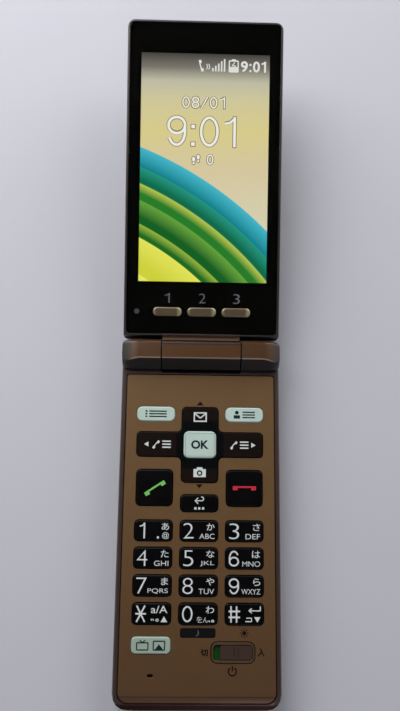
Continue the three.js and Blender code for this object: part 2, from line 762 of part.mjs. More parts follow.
// Rubber mat with one dome under each key
function keyMat() {
  const outline = roundedOutline(matWidth / 2, fromAxis(matEnd), fromAxis(matTop), numberKeyRadius);
  const arms = [[0, 1], [0, -1], [1, 0], [-1, 0]].map(([acrossShare, alongShare]) => {
    return [acrossShare * columnPitch, navBack + alongShare * (navHeight / 2 - domeRadius)];
  });
  const places = [...capKeys.map(({ x, back }) => [x, back]), ...arms, [0, navBack]];
  const domes = places.map(([x, back]) => {
    return post(domeRadius, x, fromAxis(back), matTopZ - matThickness / 2, domeTopZ, domeSides);
  });
  const cornerAcross = switchAcross - bezelWidth / 2 - matCornerGap;
  const corner = block(cornerAcross, matWidth, fromAxis(matEnd) - overrun,
    fromAxis(switchBack - bezelHeight / 2 - seam), matLowZ - overrun, matTopZ + overrun);
  return cut(join(solidOf(plate(outline, matLowZ, matTopZ)), ...domes), corner);
}

// Main circuit board, notched round the screw lugs
function mainBoard() {
  const outline = roundedOutline(boardWidth / 2, fromAxis(boardEnd), fromAxis(boardTop), numberKeyRadius);
  const notches = screwPlaces.map(([x, y]) => {
    const edge = Math.sign(x) * boardWidth;
    const inner = x - Math.sign(x) * (bossRadius + seam);
    return block(Math.min(inner, edge), Math.max(inner, edge), y - bossRadius - seam, y + bossRadius + seam,
      boardLowZ - overrun, boardTopZ + overrun);
  });
  return cut(solidOf(plate(outline, boardLowZ, boardTopZ)), ...notches);
}

const underBoard = boardLowZ - seam;
const cellLowZ = coverThickness + seam;
const batteryMid = batteryHighBack + batteryLength / 2;
const batteryEnd = batteryHighBack + batteryLength;

function batteryPack() {
  const outline = patch(batteryWidth, batteryLength, batteryRadius, 0, batteryMid);
  return solidOf(plate(outline, cellLowZ, underBoard));
}

// Card socket and loudspeaker side by side under the tail of the board
const speakerThickness = underBoard - floorTopZ - seam;

function tailPart(width, length, x, thickness) {
  const outline = patch(width, length, batteryRadius / 2, x, tailPartsBack);
  return solidOf(plate(outline, underBoard - thickness, underBoard));
}

// Shield over the radio chips, above the battery's top end
function shieldCan() {
  return solidOf(plate(patch(shieldWidth, shieldLength, seam, 0, shieldBack), floorTopZ + seam, underBoard));
}

// Flat coin motor that makes the phone shake
function vibrationMotor() {
  const low = underBoard - motorThickness;
  return solidOf(post(motorRadius, motorAcross, fromAxis(motorBack), low, underBoard));
}

// Microphone behind its hole in the panel
function microphone() {
  const low = boardTopZ + seam;
  return solidOf(post(micRadius, -columnPitch, fromAxis(micBack), low, low + micThickness));
}

// Switch below the slider
function switchUnit() {
  const outline = patch(switchUnitWidth, switchUnitHeight, seam, switchAcross, switchBack);
  return solidOf(plate(outline, boardTopZ + seam, bezelLowZ - seam));
}

// Battery terminal with three spring contacts in slots
function batteryTerminal() {
  const y = fromAxis(batteryEnd) - seam;
  const body = solidOf(block(-terminalWidth / 2, terminalWidth / 2, y - terminalDepth, y,
    floorTopZ + seam, underBoard));
  const pitch = terminalWidth / 4;
  const slots = [-1, 0, 1].map((place) => block(place * pitch - pitch / 5, place * pitch + pitch / 5,
    y - terminalDepth / 3, y + overrun, floorTopZ, underBoard - pitch / 3));
  return cut(body, ...slots);
}

// Micro connector: a flat shell with its mouth to the left
function usbSocket() {
  const outer = -phoneWidth / 2 + flapThickness + 2 * seam;
  const skin = socketThickness / 8;
  const shell = block(outer, outer + socketDepth, socketY - socketLength / 2, socketY + socketLength / 2,
    socketZ - socketThickness / 2, socketZ + socketThickness / 2);
  const mouth = block(outer - overrun, outer + socketDepth - wall,
    socketY - socketLength / 2 + skin, socketY + socketLength / 2 - skin,
    socketZ - socketThickness / 2 + skin, socketZ + socketThickness / 2 - skin);
  const tongue = block(outer + skin, outer + socketDepth - wall / 2, socketY - socketLength / 3,
    socketY + socketLength / 3, socketZ, socketZ + skin);
  return join(cut(solidOf(shell), mouth), tongue);
}

// Flap over the connector, flush with the side and with a nail groove
function portCover() {
  const face = -phoneWidth / 2;
  const plug = block(face, face + flapThickness, socketY - flapLength / 2, socketY + flapLength / 2,
    socketZ - flapHeight / 2, socketZ + flapHeight / 2);
  const groove = block(face - overrun, face + flapThickness / 3, socketY - flapLength / 2 - overrun,
    socketY - flapLength / 2 + flapThickness, socketZ - flapHeight / 4, socketZ + flapHeight / 4);
  return cut(solidOf(plug), groove);
}

// Case screw: recessed head below, shank up into the lug
function caseScrew([x, y]) {
  const low = coverThickness + 2 * seam;
  const head = post(screwHeadRadius, x, y, low, low + screwHeadThickness - seam);
  const shank = post(screwShankRadius, x, y, low + screwHeadThickness / 2, frontLow + lugThickness);
  const slot = block(x - screwHeadRadius, x + screwHeadRadius,
    y - screwHeadRadius / 8, y + screwHeadRadius / 8, low - overrun, low + screwHeadThickness / 4);
  return cut(join(solidOf(head), shank), slot);
}

// Cam unit of the hinge: a flatted can that cannot turn in its knuckle
function camCase() {
  const x0 = knuckleInner + seam;
  const flat = camCaseRadius * camFlatShare;
  const can = cut(solidOf(axle(camCaseRadius, x0, x0 + camCaseLength - seam, 0, 0)),
    block(x0 - overrun, x0 + camCaseLength + overrun, -camCaseRadius, camCaseRadius, flat, camCaseRadius * 2),
    axle(shaftRadius + runningGap, x0 - overrun, x0 + shaftReach + seam, 0, 0));
  return can.translate([0, axisY, axisZ]);
}

// Shaft of the cam unit with a flatted head that turns with the lid
function camShaft() {
  const x1 = barrelLength / 2 - seam;
  const flat = camCaseRadius * camFlatShare;
  const head = cut(solidOf(axle(camCaseRadius, x1 - shaftHeadLength, x1, 0, 0)),
    block(0, x1 + overrun, -camCaseRadius, camCaseRadius, flat, camCaseRadius * 2),
    block(0, x1 + overrun, -camCaseRadius, camCaseRadius, -camCaseRadius * 2, -flat));
  return join(head, axle(shaftRadius, x1 - seam, knuckleInner + seam + shaftReach, 0, 0));
}

// Hollow pin on the other side, through which the lid's wiring runs
function hingePin() {
  const middle = -knuckleInner;
  return cut(solidOf(axle(pinRadius, middle - pinLength / 2, middle + pinLength / 2, 0, 0)),
    axle(pinBoreRadius, middle - pinLength, middle + pinLength, 0, 0));
}

// Domed cap in the outer end of a knuckle
const capProfileShares = [[0, 0], [1, 0], [1, 0.72], [0.85, 0.92], [0.5, 1], [0, 1]];

function hingeCap(side) {
  const profile = capProfileShares.map(([radiusShare, depthShare]) => {
    return new THREE.Vector2(radiusShare * capRadius, depthShare * (capThickness + capDome));
  });
  return solidOf(new THREE.LatheGeometry(profile, roundSides)
    .rotateZ(-side * Math.PI / 2)
    .translate(side * (knuckleOuter - capThickness), axisY, axisZ));
}

// Lid outline drawn in by an inset; the lid is drawn flat, with the hinge axis as its origin
function lidLevel({ z, inset }) {
  const lowRadius = Math.max(lidLowRadius - inset, seam);
  const highRadius = Math.max(lidHighRadius - inset, seam);
  const points = roundedOutline(lidWidth / 2 - inset, lidHeel + inset, lidReach - inset,
    lowRadius, highRadius);
  return { z, points };
}

const lidHollow = () => axle(slotRadius + seam, -lidWidth, lidWidth, 0, 0, slotSides);
const frameLow = lidFace - lidFrameThickness;
const coverTop = frameLow - seam;
const glassTop = lidFace - windowBelowRim;
const glassLow = glassTop - windowGlassThickness;
const neckHalf = barrelLength / 2;
const neckTopZ = lidFace - neckTop;

// Front frame of the lid: thin rim round the window, ledge below it
function lidFrame() {
  const top = edgeLevels(lidFace, -1, lidRimDepth, lidRimInset, 2).reverse();
  const levels = [{ z: frameLow, inset: 0 }, ...top];
  const glassHalf = windowGlassWidth / 2;
  const clear = seam / 2;
  const recess = roundedOutline(glassHalf + clear, windowGlassLow - clear, windowGlassHigh + clear,
    windowCorner);
  const opening = roundedOutline(glassHalf - ledgeWidth, windowGlassLow + ledgeWidth,
    windowGlassHigh - ledgeWidth, windowCorner);
  return cut(solidOf(stack(levels.map(lidLevel))),
    plate(recess, glassLow - seam, lidFace + overrun),
    plate(opening, frameLow - overrun, glassLow),
    lidHollow(),
    block(-neckHalf - seam, neckHalf + seam, 0, windowGlassLow + ledgeWidth + overrun,
      frameLow - overrun, neckTopZ + seam));
}

// Outer shell of the lid with its neck and the centre barrel of the hinge
function lidCover() {
  const levels = edgeLevels(lidBack, 1, lidBackDepth, lidBackInset, 4);
  levels.push({ z: coverTop, inset: 0 });
  const inner = roundedOutline(lidWidth / 2 - wall, lidHeel + 2 * wall, lidReach - wall,
    lidHighRadius - wall / 2);
  let body = cut(solidOf(stack(levels.map(lidLevel))), lidHollow(),
    plate(inner, lidBack + wall, coverTop + overrun));
  const neckEnd = lidHeel + neckReach;
  body = join(body, block(-neckHalf, neckHalf, 0, neckEnd, lidFace - neckLow, neckTopZ));
  const barrel = hingeSweep([[-neckHalf, 1, 0], [neckHalf, 1, 0]])
    .rotateX(THREE.MathUtils.degToRad(-openFoldAngle));
  body = join(body, barrel);
  return cut(body,
    axle(camCaseRadius + seam / 2, neckHalf - shaftHeadLength - 2 * seam, neckHalf + overrun, 0, 0),
    axle(pinRadius + seam / 2, -neckHalf - overrun, -knuckleInner + pinLength / 2 + seam, 0, 0),
    plate(roundedOutline(subWindowWidth / 2 + seam, subWindowBack - subWindowHeight / 2 - seam,
      subWindowBack + subWindowHeight / 2 + seam, subWindowRadius), lidBack - overrun,
      lidBack + subWindowThickness + seam),
    post(lensRadius + seam, 0, lensBack, lidBack - overrun, lidBack + lensThickness + overrun));
}

const quickPlaces = [-1, 0, 1].map((place) => place * quickKeyPitch);
const quickOutline = (x, grow) => roundedOutline(quickKeyWidth / 2 + grow,
  quickKeyBack - quickKeyHeight / 2 - grow, quickKeyBack + quickKeyHeight / 2 + grow,
  Math.max(quickKeyRadius + grow, keyEdge)).map((point) => new THREE.Vector2(point.x + x, point.y));

// Window of the lid, cut for the quick keys
function displayWindow() {
  const outline = roundedOutline(windowGlassWidth / 2, windowGlassLow, windowGlassHigh,
    windowCorner - seam / 2);
  return cut(solidOf(plate(outline, glassLow, glassTop)),
    ...quickPlaces.map((x) => plate(quickOutline(x, runningGap), glassLow - overrun, glassTop + overrun)));
}

function displayModule() {
  const high = glassLow - seam;
  const outline = roundedOutline(displayWidth / 2, displayLow, displayHigh, displayCorner);
  return solidOf(plate(outline, high - displayThickness, high));
}

// Quick key: a pill whose crown is rounded across its short side
function quickKey(x) {
  const flangeTop = glassLow - seam;
  const top = glassTop + quickKeyProud;
  const crown = quickKeyProud * 2;
  const slant = Math.PI / 3;
  return solidOf(stack([
    { z: flangeTop - flangeThickness, points: quickOutline(x, keyFlange) },
    { z: flangeTop, points: quickOutline(x, keyFlange) },
    { z: flangeTop, points: quickOutline(x, 0) },
    { z: top - crown, points: quickOutline(x, 0) },
    { z: top - crown * (1 - Math.sin(slant)), points: quickOutline(x, -crown * (1 - Math.cos(slant))) },
    { z: top, points: quickOutline(x, -crown) },
  ]));
}

const lidBoardTop = glassLow - seam - flangeThickness - keyTravel - seam;

function lidBoard() {
  const outline = roundedOutline(lidBoardWidth / 2, quickKeyBack - lidBoardHeight / 2,
    quickKeyBack + lidBoardHeight / 2, displayCorner);
  return solidOf(plate(outline, lidBoardTop - boardThickness, lidBoardTop));
}

function receiver() {
  const low = displayHigh + seam;
  const high = glassLow - seam;
  const outline = roundedOutline(receiverWidth / 2, low, low + receiverHeight, receiverHeight / 3);
  return solidOf(plate(outline, high - receiverThickness, high));
}

function subDisplayWindow() {
  const outline = roundedOutline(subWindowWidth / 2, subWindowBack - subWindowHeight / 2,
    subWindowBack + subWindowHeight / 2, subWindowRadius - seam);
  return solidOf(plate(outline, lidBack, lidBack + subWindowThickness));
}

// Camera: a raised ring with its glass set a little lower
function cameraLens() {
  const glass = lensRadius * lensGlassShare;
  const dish = post(glass, 0, lensBack, lidBack - overrun, lidBack + lensDish);
  return cut(solidOf(post(lensRadius, 0, lensBack, lidBack, lidBack + lensThickness)), dish);
}

const phone = new THREE.Group();
const lid = new THREE.Group();
lid.position.set(0, axisY, axisZ);
lid.rotation.x = THREE.MathUtils.degToRad(openFoldAngle);
phone.add(lid);

function finish(color, roughness, metalness = 0) {
  return new THREE.MeshStandardMaterial({ color, roughness, metalness });
}

function place(group, name, solid, material) {
  const mesh = new THREE.Mesh(geometryOf(solid), material);
  mesh.name = name;
  group.add(mesh);
}

const shellPaint = finish(0x4a3a34, 0.35, 0.3);
const panelPaint = finish(0x6e5238, 0.42, 0.35);
const rearPlastic = finish(0x3a2d28, 0.5);
const rimPaint = finish(0x3b3838, 0.35, 0.4);
const switchPlastic = finish(0x54402e, 0.42, 0.3);
const flapRubber = finish(0x3a2d28, 0.7);
const blackCap = finish(0x0d0d0f, 0.25);
const litCap = finish(0xb7cfc6, 0.5);
const champagne = finish(0x8f7c58, 0.35, 0.7);
const darkGlass = finish(0x050506, 0.08);
const litDisplay = finish(0x9fb28a, 0.4);
const steel = finish(0xb8babd, 0.35, 1);
const boardGreen = finish(0x1f4a33, 0.6);
const cellWrap = finish(0x2b2c30, 0.6);
const blackPlastic = finish(0x1b1b1d, 0.6);
const silicone = finish(0xc9cbc8, 0.8);

place(phone, "keypad_housing", keypadHousing(), shellPaint);
place(phone, "keypad_panel", keypadPanel(), panelPaint);
place(phone, "rear_housing", rearHousing(), rearPlastic);
place(phone, "battery_cover", batteryCover(), panelPaint);
place(phone, "battery_pack", batteryPack(), cellWrap);
place(phone, "battery_terminal", batteryTerminal(), blackPlastic);
place(phone, "key_mat", keyMat(), silicone);
place(phone, "main_board", mainBoard(), boardGreen);
place(phone, "shield_can", shieldCan(), steel);
place(phone, "sim_socket", tailPart(simWidth, simLength, -speakerAcross, simThickness), steel);
place(phone, "loudspeaker",
  tailPart(speakerWidth, speakerLength, speakerAcross, speakerThickness), blackPlastic);
place(phone, "vibration_motor", vibrationMotor(), steel);
place(phone, "microphone", microphone(), steel);
place(phone, "usb_socket", usbSocket(), steel);
place(phone, "switch_unit", switchUnit(), blackPlastic);
place(phone, "switch_bezel", switchBezel(), switchPlastic);
screwPlaces.forEach((spot, number) => {
  place(phone, `case_screw_${number + 1}`, caseScrew(spot), steel);
});
place(phone, "hinge_cap_left", hingeCap(-1), shellPaint);
place(phone, "hinge_cap_right", hingeCap(1), shellPaint);
place(phone, "hinge_cam_case", camCase(), steel);
for (const key of capKeys) {
  place(phone, key.name, keyCap(key), litNames.includes(key.name) ? litCap : blackCap);
}
place(phone, "ok_key", okKey(), litCap);
place(phone, "nav_key", navKey(), blackCap);
place(phone, "nav_pivot", navPivot(), steel);
place(phone, "power_slider", powerSlider(), switchPlastic);
place(phone, "port_cover", portCover(), flapRubber);

place(lid, "lid_frame", lidFrame(), rimPaint);
place(lid, "display_window", displayWindow(), darkGlass);
place(lid, "display_module", displayModule(), litDisplay);
place(lid, "lid_cover", lidCover(), panelPaint);
place(lid, "lid_board", lidBoard(), boardGreen);
place(lid, "receiver", receiver(), steel);
place(lid, "sub_display_window", subDisplayWindow(), darkGlass);
place(lid, "camera_lens", cameraLens(), darkGlass);
place(lid, "hinge_cam_shaft", camShaft(), steel);
place(lid, "hinge_pin", hingePin(), steel);
quickPlaces.forEach((x, number) => {
  place(lid, `quick_key_${number + 1}`, quickKey(x), champagne);
});

export default phone;
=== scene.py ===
import json
import math

import bmesh
import bpy
from mathutils import Matrix, Vector


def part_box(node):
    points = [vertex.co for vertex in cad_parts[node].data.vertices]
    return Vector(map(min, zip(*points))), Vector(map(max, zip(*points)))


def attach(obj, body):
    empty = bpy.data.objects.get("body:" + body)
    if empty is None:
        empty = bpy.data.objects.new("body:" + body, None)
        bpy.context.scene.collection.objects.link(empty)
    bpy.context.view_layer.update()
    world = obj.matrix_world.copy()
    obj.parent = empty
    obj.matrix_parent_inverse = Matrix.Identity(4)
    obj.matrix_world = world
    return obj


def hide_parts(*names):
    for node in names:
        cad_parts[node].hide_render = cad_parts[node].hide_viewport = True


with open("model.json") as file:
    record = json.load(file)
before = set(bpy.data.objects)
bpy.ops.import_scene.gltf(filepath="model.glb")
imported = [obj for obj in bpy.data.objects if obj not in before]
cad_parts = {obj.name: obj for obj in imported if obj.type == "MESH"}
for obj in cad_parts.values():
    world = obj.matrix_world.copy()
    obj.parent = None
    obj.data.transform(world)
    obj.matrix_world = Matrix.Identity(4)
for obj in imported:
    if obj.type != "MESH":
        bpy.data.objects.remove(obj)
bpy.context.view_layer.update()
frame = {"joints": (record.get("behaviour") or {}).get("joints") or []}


# Camera and studio: the phone is seen from above its keypad, almost straight down, with the view
# drawn in towards the open lid. Two wide soft lamps stand behind the lid, a small one in front draws
# the ridge of the hinge, and the room has pale walls and a dark ceiling that keeps glass black.
mm = 0.001
view_place = Vector((-4.733, 18.186, 208.759)) * mm
view_turns = {"X": -10.02, "Y": 1.25, "Z": -0.90}
photo_height_px, focal_length_px = 711, 621.2
sensor_width = 36

to_view = Matrix.Identity(3)
for turn_axis, degrees in view_turns.items():
    to_view = Matrix.Rotation(math.radians(degrees), 3, turn_axis) @ to_view
camera_data = bpy.data.cameras.new("photo_view")
camera_data.sensor_width = sensor_width
camera_data.lens = focal_length_px / photo_height_px * sensor_width
camera = bpy.data.objects.new("photo_view", camera_data)
camera.matrix_world = Matrix.Translation(view_place) @ to_view.transposed().to_4x4()
bpy.context.scene.collection.objects.link(camera)
bpy.context.scene.camera = camera
bpy.context.scene.view_settings.view_transform = "Standard"


class Wire:
    """A socket of a material's nodes; arithmetic on it adds Math nodes."""

    def __init__(self, tree, socket):
        self.tree, self.socket = tree, socket

    def node(self, kind, settings=None, inputs=None, output=0):
        made = self.tree.nodes.new(kind)
        for name, value in (settings or {}).items():
            if name == "stops":
                ramp = made.color_ramp
                while len(ramp.elements) < len(value):
                    ramp.elements.new(1)
                for stop, (place, colour) in zip(ramp.elements, value):
                    stop.position, stop.color = place, colour
            else:
                setattr(made, name, value)
        for name, value in (inputs or {}).items():
            if isinstance(value, Wire):
                self.tree.links.new(value.socket, made.inputs[name])
            else:
                made.inputs[name].default_value = value
        return Wire(self.tree, made.outputs[output])

    def math(self, operation, *values):
        return self.node("ShaderNodeMath", {"operation": operation}, dict(enumerate((self, *values))))

    def __add__(self, other):
        return self.math("ADD", other)

    def __sub__(self, other):
        return self.math("SUBTRACT", other)

    def __mul__(self, other):
        return self.math("MULTIPLY", other)

    def __truediv__(self, other):
        return self.math("DIVIDE", other)

    def __rsub__(self, other):
        return (self * -1) + other

    __radd__, __rmul__ = __add__, __mul__

    def step(self, soft=1.0):
        """0 below zero and 1 above soft, with a straight rise between."""
        return self.node("ShaderNodeMath", {"operation": "DIVIDE", "use_clamp": True}, {0: self, 1: soft})

    def blend(self, low, high):
        """The colour low where this wire is 0 and high where it is 1."""
        return self.node("ShaderNodeMix", {"data_type": "RGBA"}, {0: self, 6: low, 7: high}, output=2)

    def noise(self, scale, detail=2.0):
        return self.node("ShaderNodeTexNoise", None, {"Vector": self, "Scale": scale, "Detail": detail})

    def part(self, axis):
        """The X, Y or Z of this vector."""
        return self.node("ShaderNodeSeparateXYZ", None, {0: self}, output="XYZ".index(axis))


def tone(red, green, blue):
    """A colour given as it looks on a screen, from 0 to 255, for a shader's socket."""
    share = [value / 255 for value in (red, green, blue)]
    return [value / 12.92 if value < 0.04045 else ((value + 0.055) / 1.055) ** 2.4 for value in share] + [1]


class Finish:
    """A material with its shader, and the place on the object that its patterns read."""

    def __init__(self, name, **sockets):
        self.material = bpy.data.materials.new(name)
        self.material.use_nodes = True
        tree = self.material.node_tree
        self.shader = tree.nodes["Principled BSDF"]
        self.place = Wire(tree, tree.nodes.new("ShaderNodeTexCoord").outputs["Object"])
        for socket, value in sockets.items():
            self.set(socket.replace("_", " "), value)

    def set(self, socket, value):
        if isinstance(value, Wire):
            value.tree.links.new(value.socket, self.shader.inputs[socket])
        else:
            self.shader.inputs[socket].default_value = value

    def at(self, axis):
        """The X, Y or Z of the place, in mm."""
        return self.place.part(axis) / mm

    def facing(self, axis):
        """The X, Y or Z of the way each face looks, which finished() keeps on the piece."""
        return self.place.node("ShaderNodeAttribute", {"attribute_name": "facing"}, output=1).part(axis)

    def bump(self, height, distance, strength=0.5):
        """height gives the relief, and distance is its full depth in mm."""
        inputs = {"Height": height, "Distance": distance * mm, "Strength": strength}
        self.set("Normal", height.node("ShaderNodeBump", None, inputs))

    def streaks(self, *scales):
        """Noise drawn out by its own scale along X, Y and Z, as rolling and brushing leave it."""
        stretched = self.place.node("ShaderNodeMapping", None, {"Vector": self.place, "Scale": scales})
        return stretched.noise(1.0, 3)

    def rough(self, pattern, low, high):
        """Roughness that follows a pattern from low to high."""
        self.set("Roughness", low + pattern * (high - low))

    def cover(self, pattern, dark, light, low, high):
        """A colour from dark to light and a roughness from low to high, by one pattern."""
        self.set("Base Color", pattern.blend(dark, light))
        self.rough(pattern, low, high)


def soft_lamp(name, place, aim, size, power):
    lamp = bpy.data.lights.new(name, "AREA")
    lamp.shape, lamp.size, lamp.energy = "DISK", size, power
    holder = bpy.data.objects.new(name, lamp)
    turn = (Vector(aim) - Vector(place)).to_track_quat("-Z", "Y").to_matrix().to_4x4()
    holder.matrix_world = Matrix.Translation(place) @ turn
    bpy.context.scene.collection.objects.link(holder)


soft_lamp("key_lamp", place=(-0.24, 0.42, 0.33), aim=(0, 0.06, 0), size=0.60, power=3.7)
soft_lamp("fill_lamp", place=(0.46, 0.52, 0.42), aim=(0, 0.04, 0), size=0.56, power=2.2)
soft_lamp("ridge_lamp", place=(0.10, -0.70, 0.52), aim=(0, 0.05, 0), size=0.18, power=0.4)

room = bpy.data.worlds.new("room")
room.use_nodes = True
room_tree = room.node_tree
room_light = room_tree.nodes["Background"]
room_light.inputs["Color"].default_value = tone(226, 228, 236)
sight = Wire(room_tree, room_tree.nodes.new("ShaderNodeTexCoord").outputs["Generated"])
ceiling_level, front_level, back_level = 0.03, 0.14, 0.62
wall_top, wall_fade, front_edge, back_fade = 0.94, 0.5, -0.7, 1.2
wall_share = (wall_top - sight.part("Z")).step(wall_fade)
from_front = (sight.part("Y") - front_edge).step(back_fade)
wall_level = from_front * (back_level - front_level) + front_level
room_level = wall_share * wall_level + ceiling_level
room_tree.links.new(room_level.socket, room_light.inputs["Strength"])
bpy.context.scene.world = room

floor_half = 3
floor_mesh = bmesh.new()
bmesh.ops.create_grid(floor_mesh, x_segments=1, y_segments=1, size=floor_half)
floor_data = bpy.data.meshes.new("floor")
floor_mesh.to_mesh(floor_data)
floor = bpy.data.objects.new("floor", floor_data)
bpy.context.scene.collection.objects.link(floor)
floor_finish = Finish("pale_floor", Base_Color=tone(190, 190, 198), Roughness=0.8)
floor_data.materials.append(floor_finish.material)


# Keypad housing: one moulding with the rim round the keys, the two outer hinge knuckles and the
# tray below. It is injection moulded and sprayed with a grey-brown metallic paint under a satin
# clear coat, so its arrises are slightly rounded and catch a thin light line. The knuckles' ridge
# also has a painted highlight, and their sloping front, the seams by the barrel, the left knuckle's
# end and the low end of the rim are painted darker as painted shade.
sharp_from, smooth_to, flat_within = math.radians(24), math.radians(38), math.radians(0.8)
merge_within, arris_steps = 0.002, 3


def bevelled(bm, edges, width, steps, clamp=False):
    bmesh.ops.bevel(bm, geom=edges, offset=width, segments=steps, profile=0.5, affect="EDGES",
                    clamp_overlap=clamp, material=-1)


def softened(node, width):
    """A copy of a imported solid, in mm, with its sharp edges rounded."""
    bm = bmesh.new()
    bm.from_mesh(bpy.data.objects[node].data)
    bmesh.ops.scale(bm, vec=(1 / mm, 1 / mm, 1 / mm), verts=bm.verts)
    bmesh.ops.remove_doubles(bm, verts=bm.verts, dist=merge_within)
    bmesh.ops.dissolve_limit(bm, angle_limit=flat_within, verts=bm.verts, edges=bm.edges)
    sharp = [edge for edge in bm.edges if edge.calc_face_angle(0) > sharp_from]
    bevelled(bm, sharp, width, arris_steps, clamp=True)
    return bm


def finished(bm, name, body, finish, stands_for=()):
    """The piece made of a mesh in mm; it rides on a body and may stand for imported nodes."""
    bmesh.ops.scale(bm, vec=(mm, mm, mm), verts=bm.verts)
    for face in bm.faces:
        face.smooth = True
    mesh = bpy.data.meshes.new(name)
    bm.to_mesh(mesh)
    bm.free()
    mesh.set_sharp_from_angle(angle=smooth_to)
    facing = mesh.attributes.new("facing", "FLOAT_VECTOR", "FACE")
    facing.data.foreach_set("vector", [part for face in mesh.polygons for part in face.normal])
    mesh.materials.append(finish.material)
    piece = bpy.data.objects.new(name, mesh)
    bpy.context.scene.collection.objects.link(piece)
    piece.modifiers.new("even_normals", "WEIGHTED_NORMAL").keep_sharp = True
    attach(piece, body)
    if stands_for:
        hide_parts(*stands_for)


def softened_piece(node, name, body, finish, edge):
    """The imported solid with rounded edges, as the piece that stands for it."""
    finished(softened(node, edge), name, body, finish, [node])


def tinted(colour, share):
    """The same colour, lighter or darker by a share."""
    return [share * value for value in colour[:3]] + [1]


full_coat, coat_roughness = 0.45, 0.14
flake_level, flake_fade, flake_share = 0.5, 0.16, 0.3
mottle_scale, mottle_share = 90, 0.07
sheen_scale, sheen_spread = 400, 0.06
peel_scale, peel_depth = 1800, 0.004


def metallic_paint(name, colour, glint, roughness, metal, flake_scale=7000, coat=full_coat):
    """Sprayed paint: fine flakes in a tinted base, a soft mottle and a faint orange peel."""
    paint = Finish(name, Metallic=metal, Coat_Weight=coat, Coat_Roughness=coat_roughness)
    flakes = (paint.place.noise(flake_scale, 1) - flake_level).step(flake_fade)
    mottle = paint.place.noise(mottle_scale, 3)
    base = mottle.blend(tinted(colour, 1 - mottle_share), tinted(colour, 1 + mottle_share))
    paint.set("Base Color", (flakes * flake_share).blend(base, glint))
    paint.rough(paint.place.noise(sheen_scale), roughness - sheen_spread, roughness + sheen_spread)
    paint.bump(paint.place.noise(peel_scale, 3), peel_depth)
    return paint


def roughened(paint, share, more):
    """Adds to a paint's roughness where share is 1."""
    below = paint.shader.inputs["Roughness"].links[0].from_socket
    paint.set("Roughness", Wire(share.tree, below) + share * more)


def recoloured(paint, share, colour):
    """Blends another colour over a paint where share is 1."""
    below = paint.shader.inputs["Base Color"].links[0].from_socket
    paint.set("Base Color", share.blend(Wire(share.tree, below), colour))


lid_hinge = next(joint for joint in frame["joints"] if joint["name"] == "lid_hinge")
lid_axis = Vector(lid_hinge["pos_m"]) / mm
ridge_highlight_from, ridge_highlight_fade, ridge_highlight_colour = 0.10, 0.06, tone(136, 116, 104)
front_shade_from, front_shade_fade, front_shade_colour = 0.38, 0.12, tone(32, 23, 20)


def hinge_colours(paint, share, top_colour):
    """The hinge's flat top colour, a painted highlight along its ridge and painted shade on its sloping
    front.
    """
    frontward = paint.facing("Y") * -1
    recoloured(paint, share, top_colour)
    # Painted highlight: the ridge's rounded arris is painted a pale tone.
    recoloured(paint, share * (frontward - ridge_highlight_from).step(ridge_highlight_fade), ridge_highlight_colour)
    # Painted shade: the sloping front is painted dark.
    recoloured(paint, share * (frontward - front_shade_from).step(front_shade_fade), front_shade_colour)


shell_metal, low_end_metal = 0.32, 0.6
knuckle_low, knuckle_end, end_fade = 9.5, 21.5, 2.6
end_coat_loss, steep_front, steep_fade = 0.33, -0.4, 0.1
low_end_from, low_end_fade = -51.6, 0.8
thin_fade = 0.1
barrel_half, seam_reach, seam_fade = 12.6, 0.38, 0.05
seam_shade_colour, seam_roughness = tone(10, 6, 5), 0.5

shell_paint = metallic_paint("shell_paint", tone(62, 48, 44), tone(108, 88, 80), 0.40, shell_metal)
shell_side = shell_paint.at("X").math("ABSOLUTE")
knuckle_share = (shell_paint.at("Z") - knuckle_low).step(thin_fade)
hinge_colours(shell_paint, knuckle_share, tone(78, 50, 23))
not_front = (shell_paint.facing("Y") - steep_front).step(steep_fade)
end_share = knuckle_share * not_front * (shell_side - knuckle_end).step(end_fade)
recoloured(shell_paint, end_share, tone(62, 52, 46))
# Painted shade: the left knuckle's outer end is painted darker than the right one.
recoloured(shell_paint, end_share * (shell_paint.at("X") * -1).step(), tone(38, 32, 26))
# Painted shade: towards the low end the rim is painted darker, more metallic and without coat.
low_end_shade_share = (low_end_from - shell_paint.at("Y")).step(low_end_fade)
recoloured(shell_paint, low_end_shade_share, tone(52, 31, 27))
# Painted shade: the knuckle faces next to the seam with the barrel are painted near black and made rough.
knuckle_seam_shade = knuckle_share * (barrel_half + seam_reach - shell_side).step(seam_fade)
recoloured(shell_paint, knuckle_seam_shade, seam_shade_colour)
roughened(shell_paint, knuckle_seam_shade, seam_roughness)
bare_share = low_end_shade_share + knuckle_seam_shade
shell_paint.set("Coat Weight", full_coat - end_share * end_coat_loss - bare_share * full_coat)
shell_paint.set("Metallic", shell_metal + low_end_shade_share * low_end_metal)
softened_piece("keypad_housing", "keypad_housing_shell", "base", shell_paint, edge=0.16)


# Keypad panel: a thin plate with an opening for every key, stuck into the housing's recess. It is
# painted a warmer gold brown with finer flakes, and it slopes down behind the fold near the end.
# Its colour carries painted shade towards the low end, painted light on the slope past the fold and
# a painted shadow line along the fold.
def box_mm(node):
    """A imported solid's lowest and highest corner, in mm."""
    return [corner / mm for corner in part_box(node)]


panel_low, panel_high = box_mm("keypad_panel")
shade_from, shade_length, painted_shade_share = 10, 60, 0.6
fold_reach, fold_shadow, slope_light_share = 2.03, 0.32, 0.6
panel_paint = metallic_paint("panel_paint", tone(107, 78, 46), tone(142, 112, 74), 0.46, 0.28,
                             flake_scale=9000, coat=0.15)
panel_along = panel_paint.at("Y")
# Painted shade: the panel is painted darker towards the low end.
shade = (shade_from - panel_along).step(shade_length)
recoloured(panel_paint, shade * painted_shade_share, tone(80, 54, 36))
past_fold = panel_low.y + fold_reach - panel_along
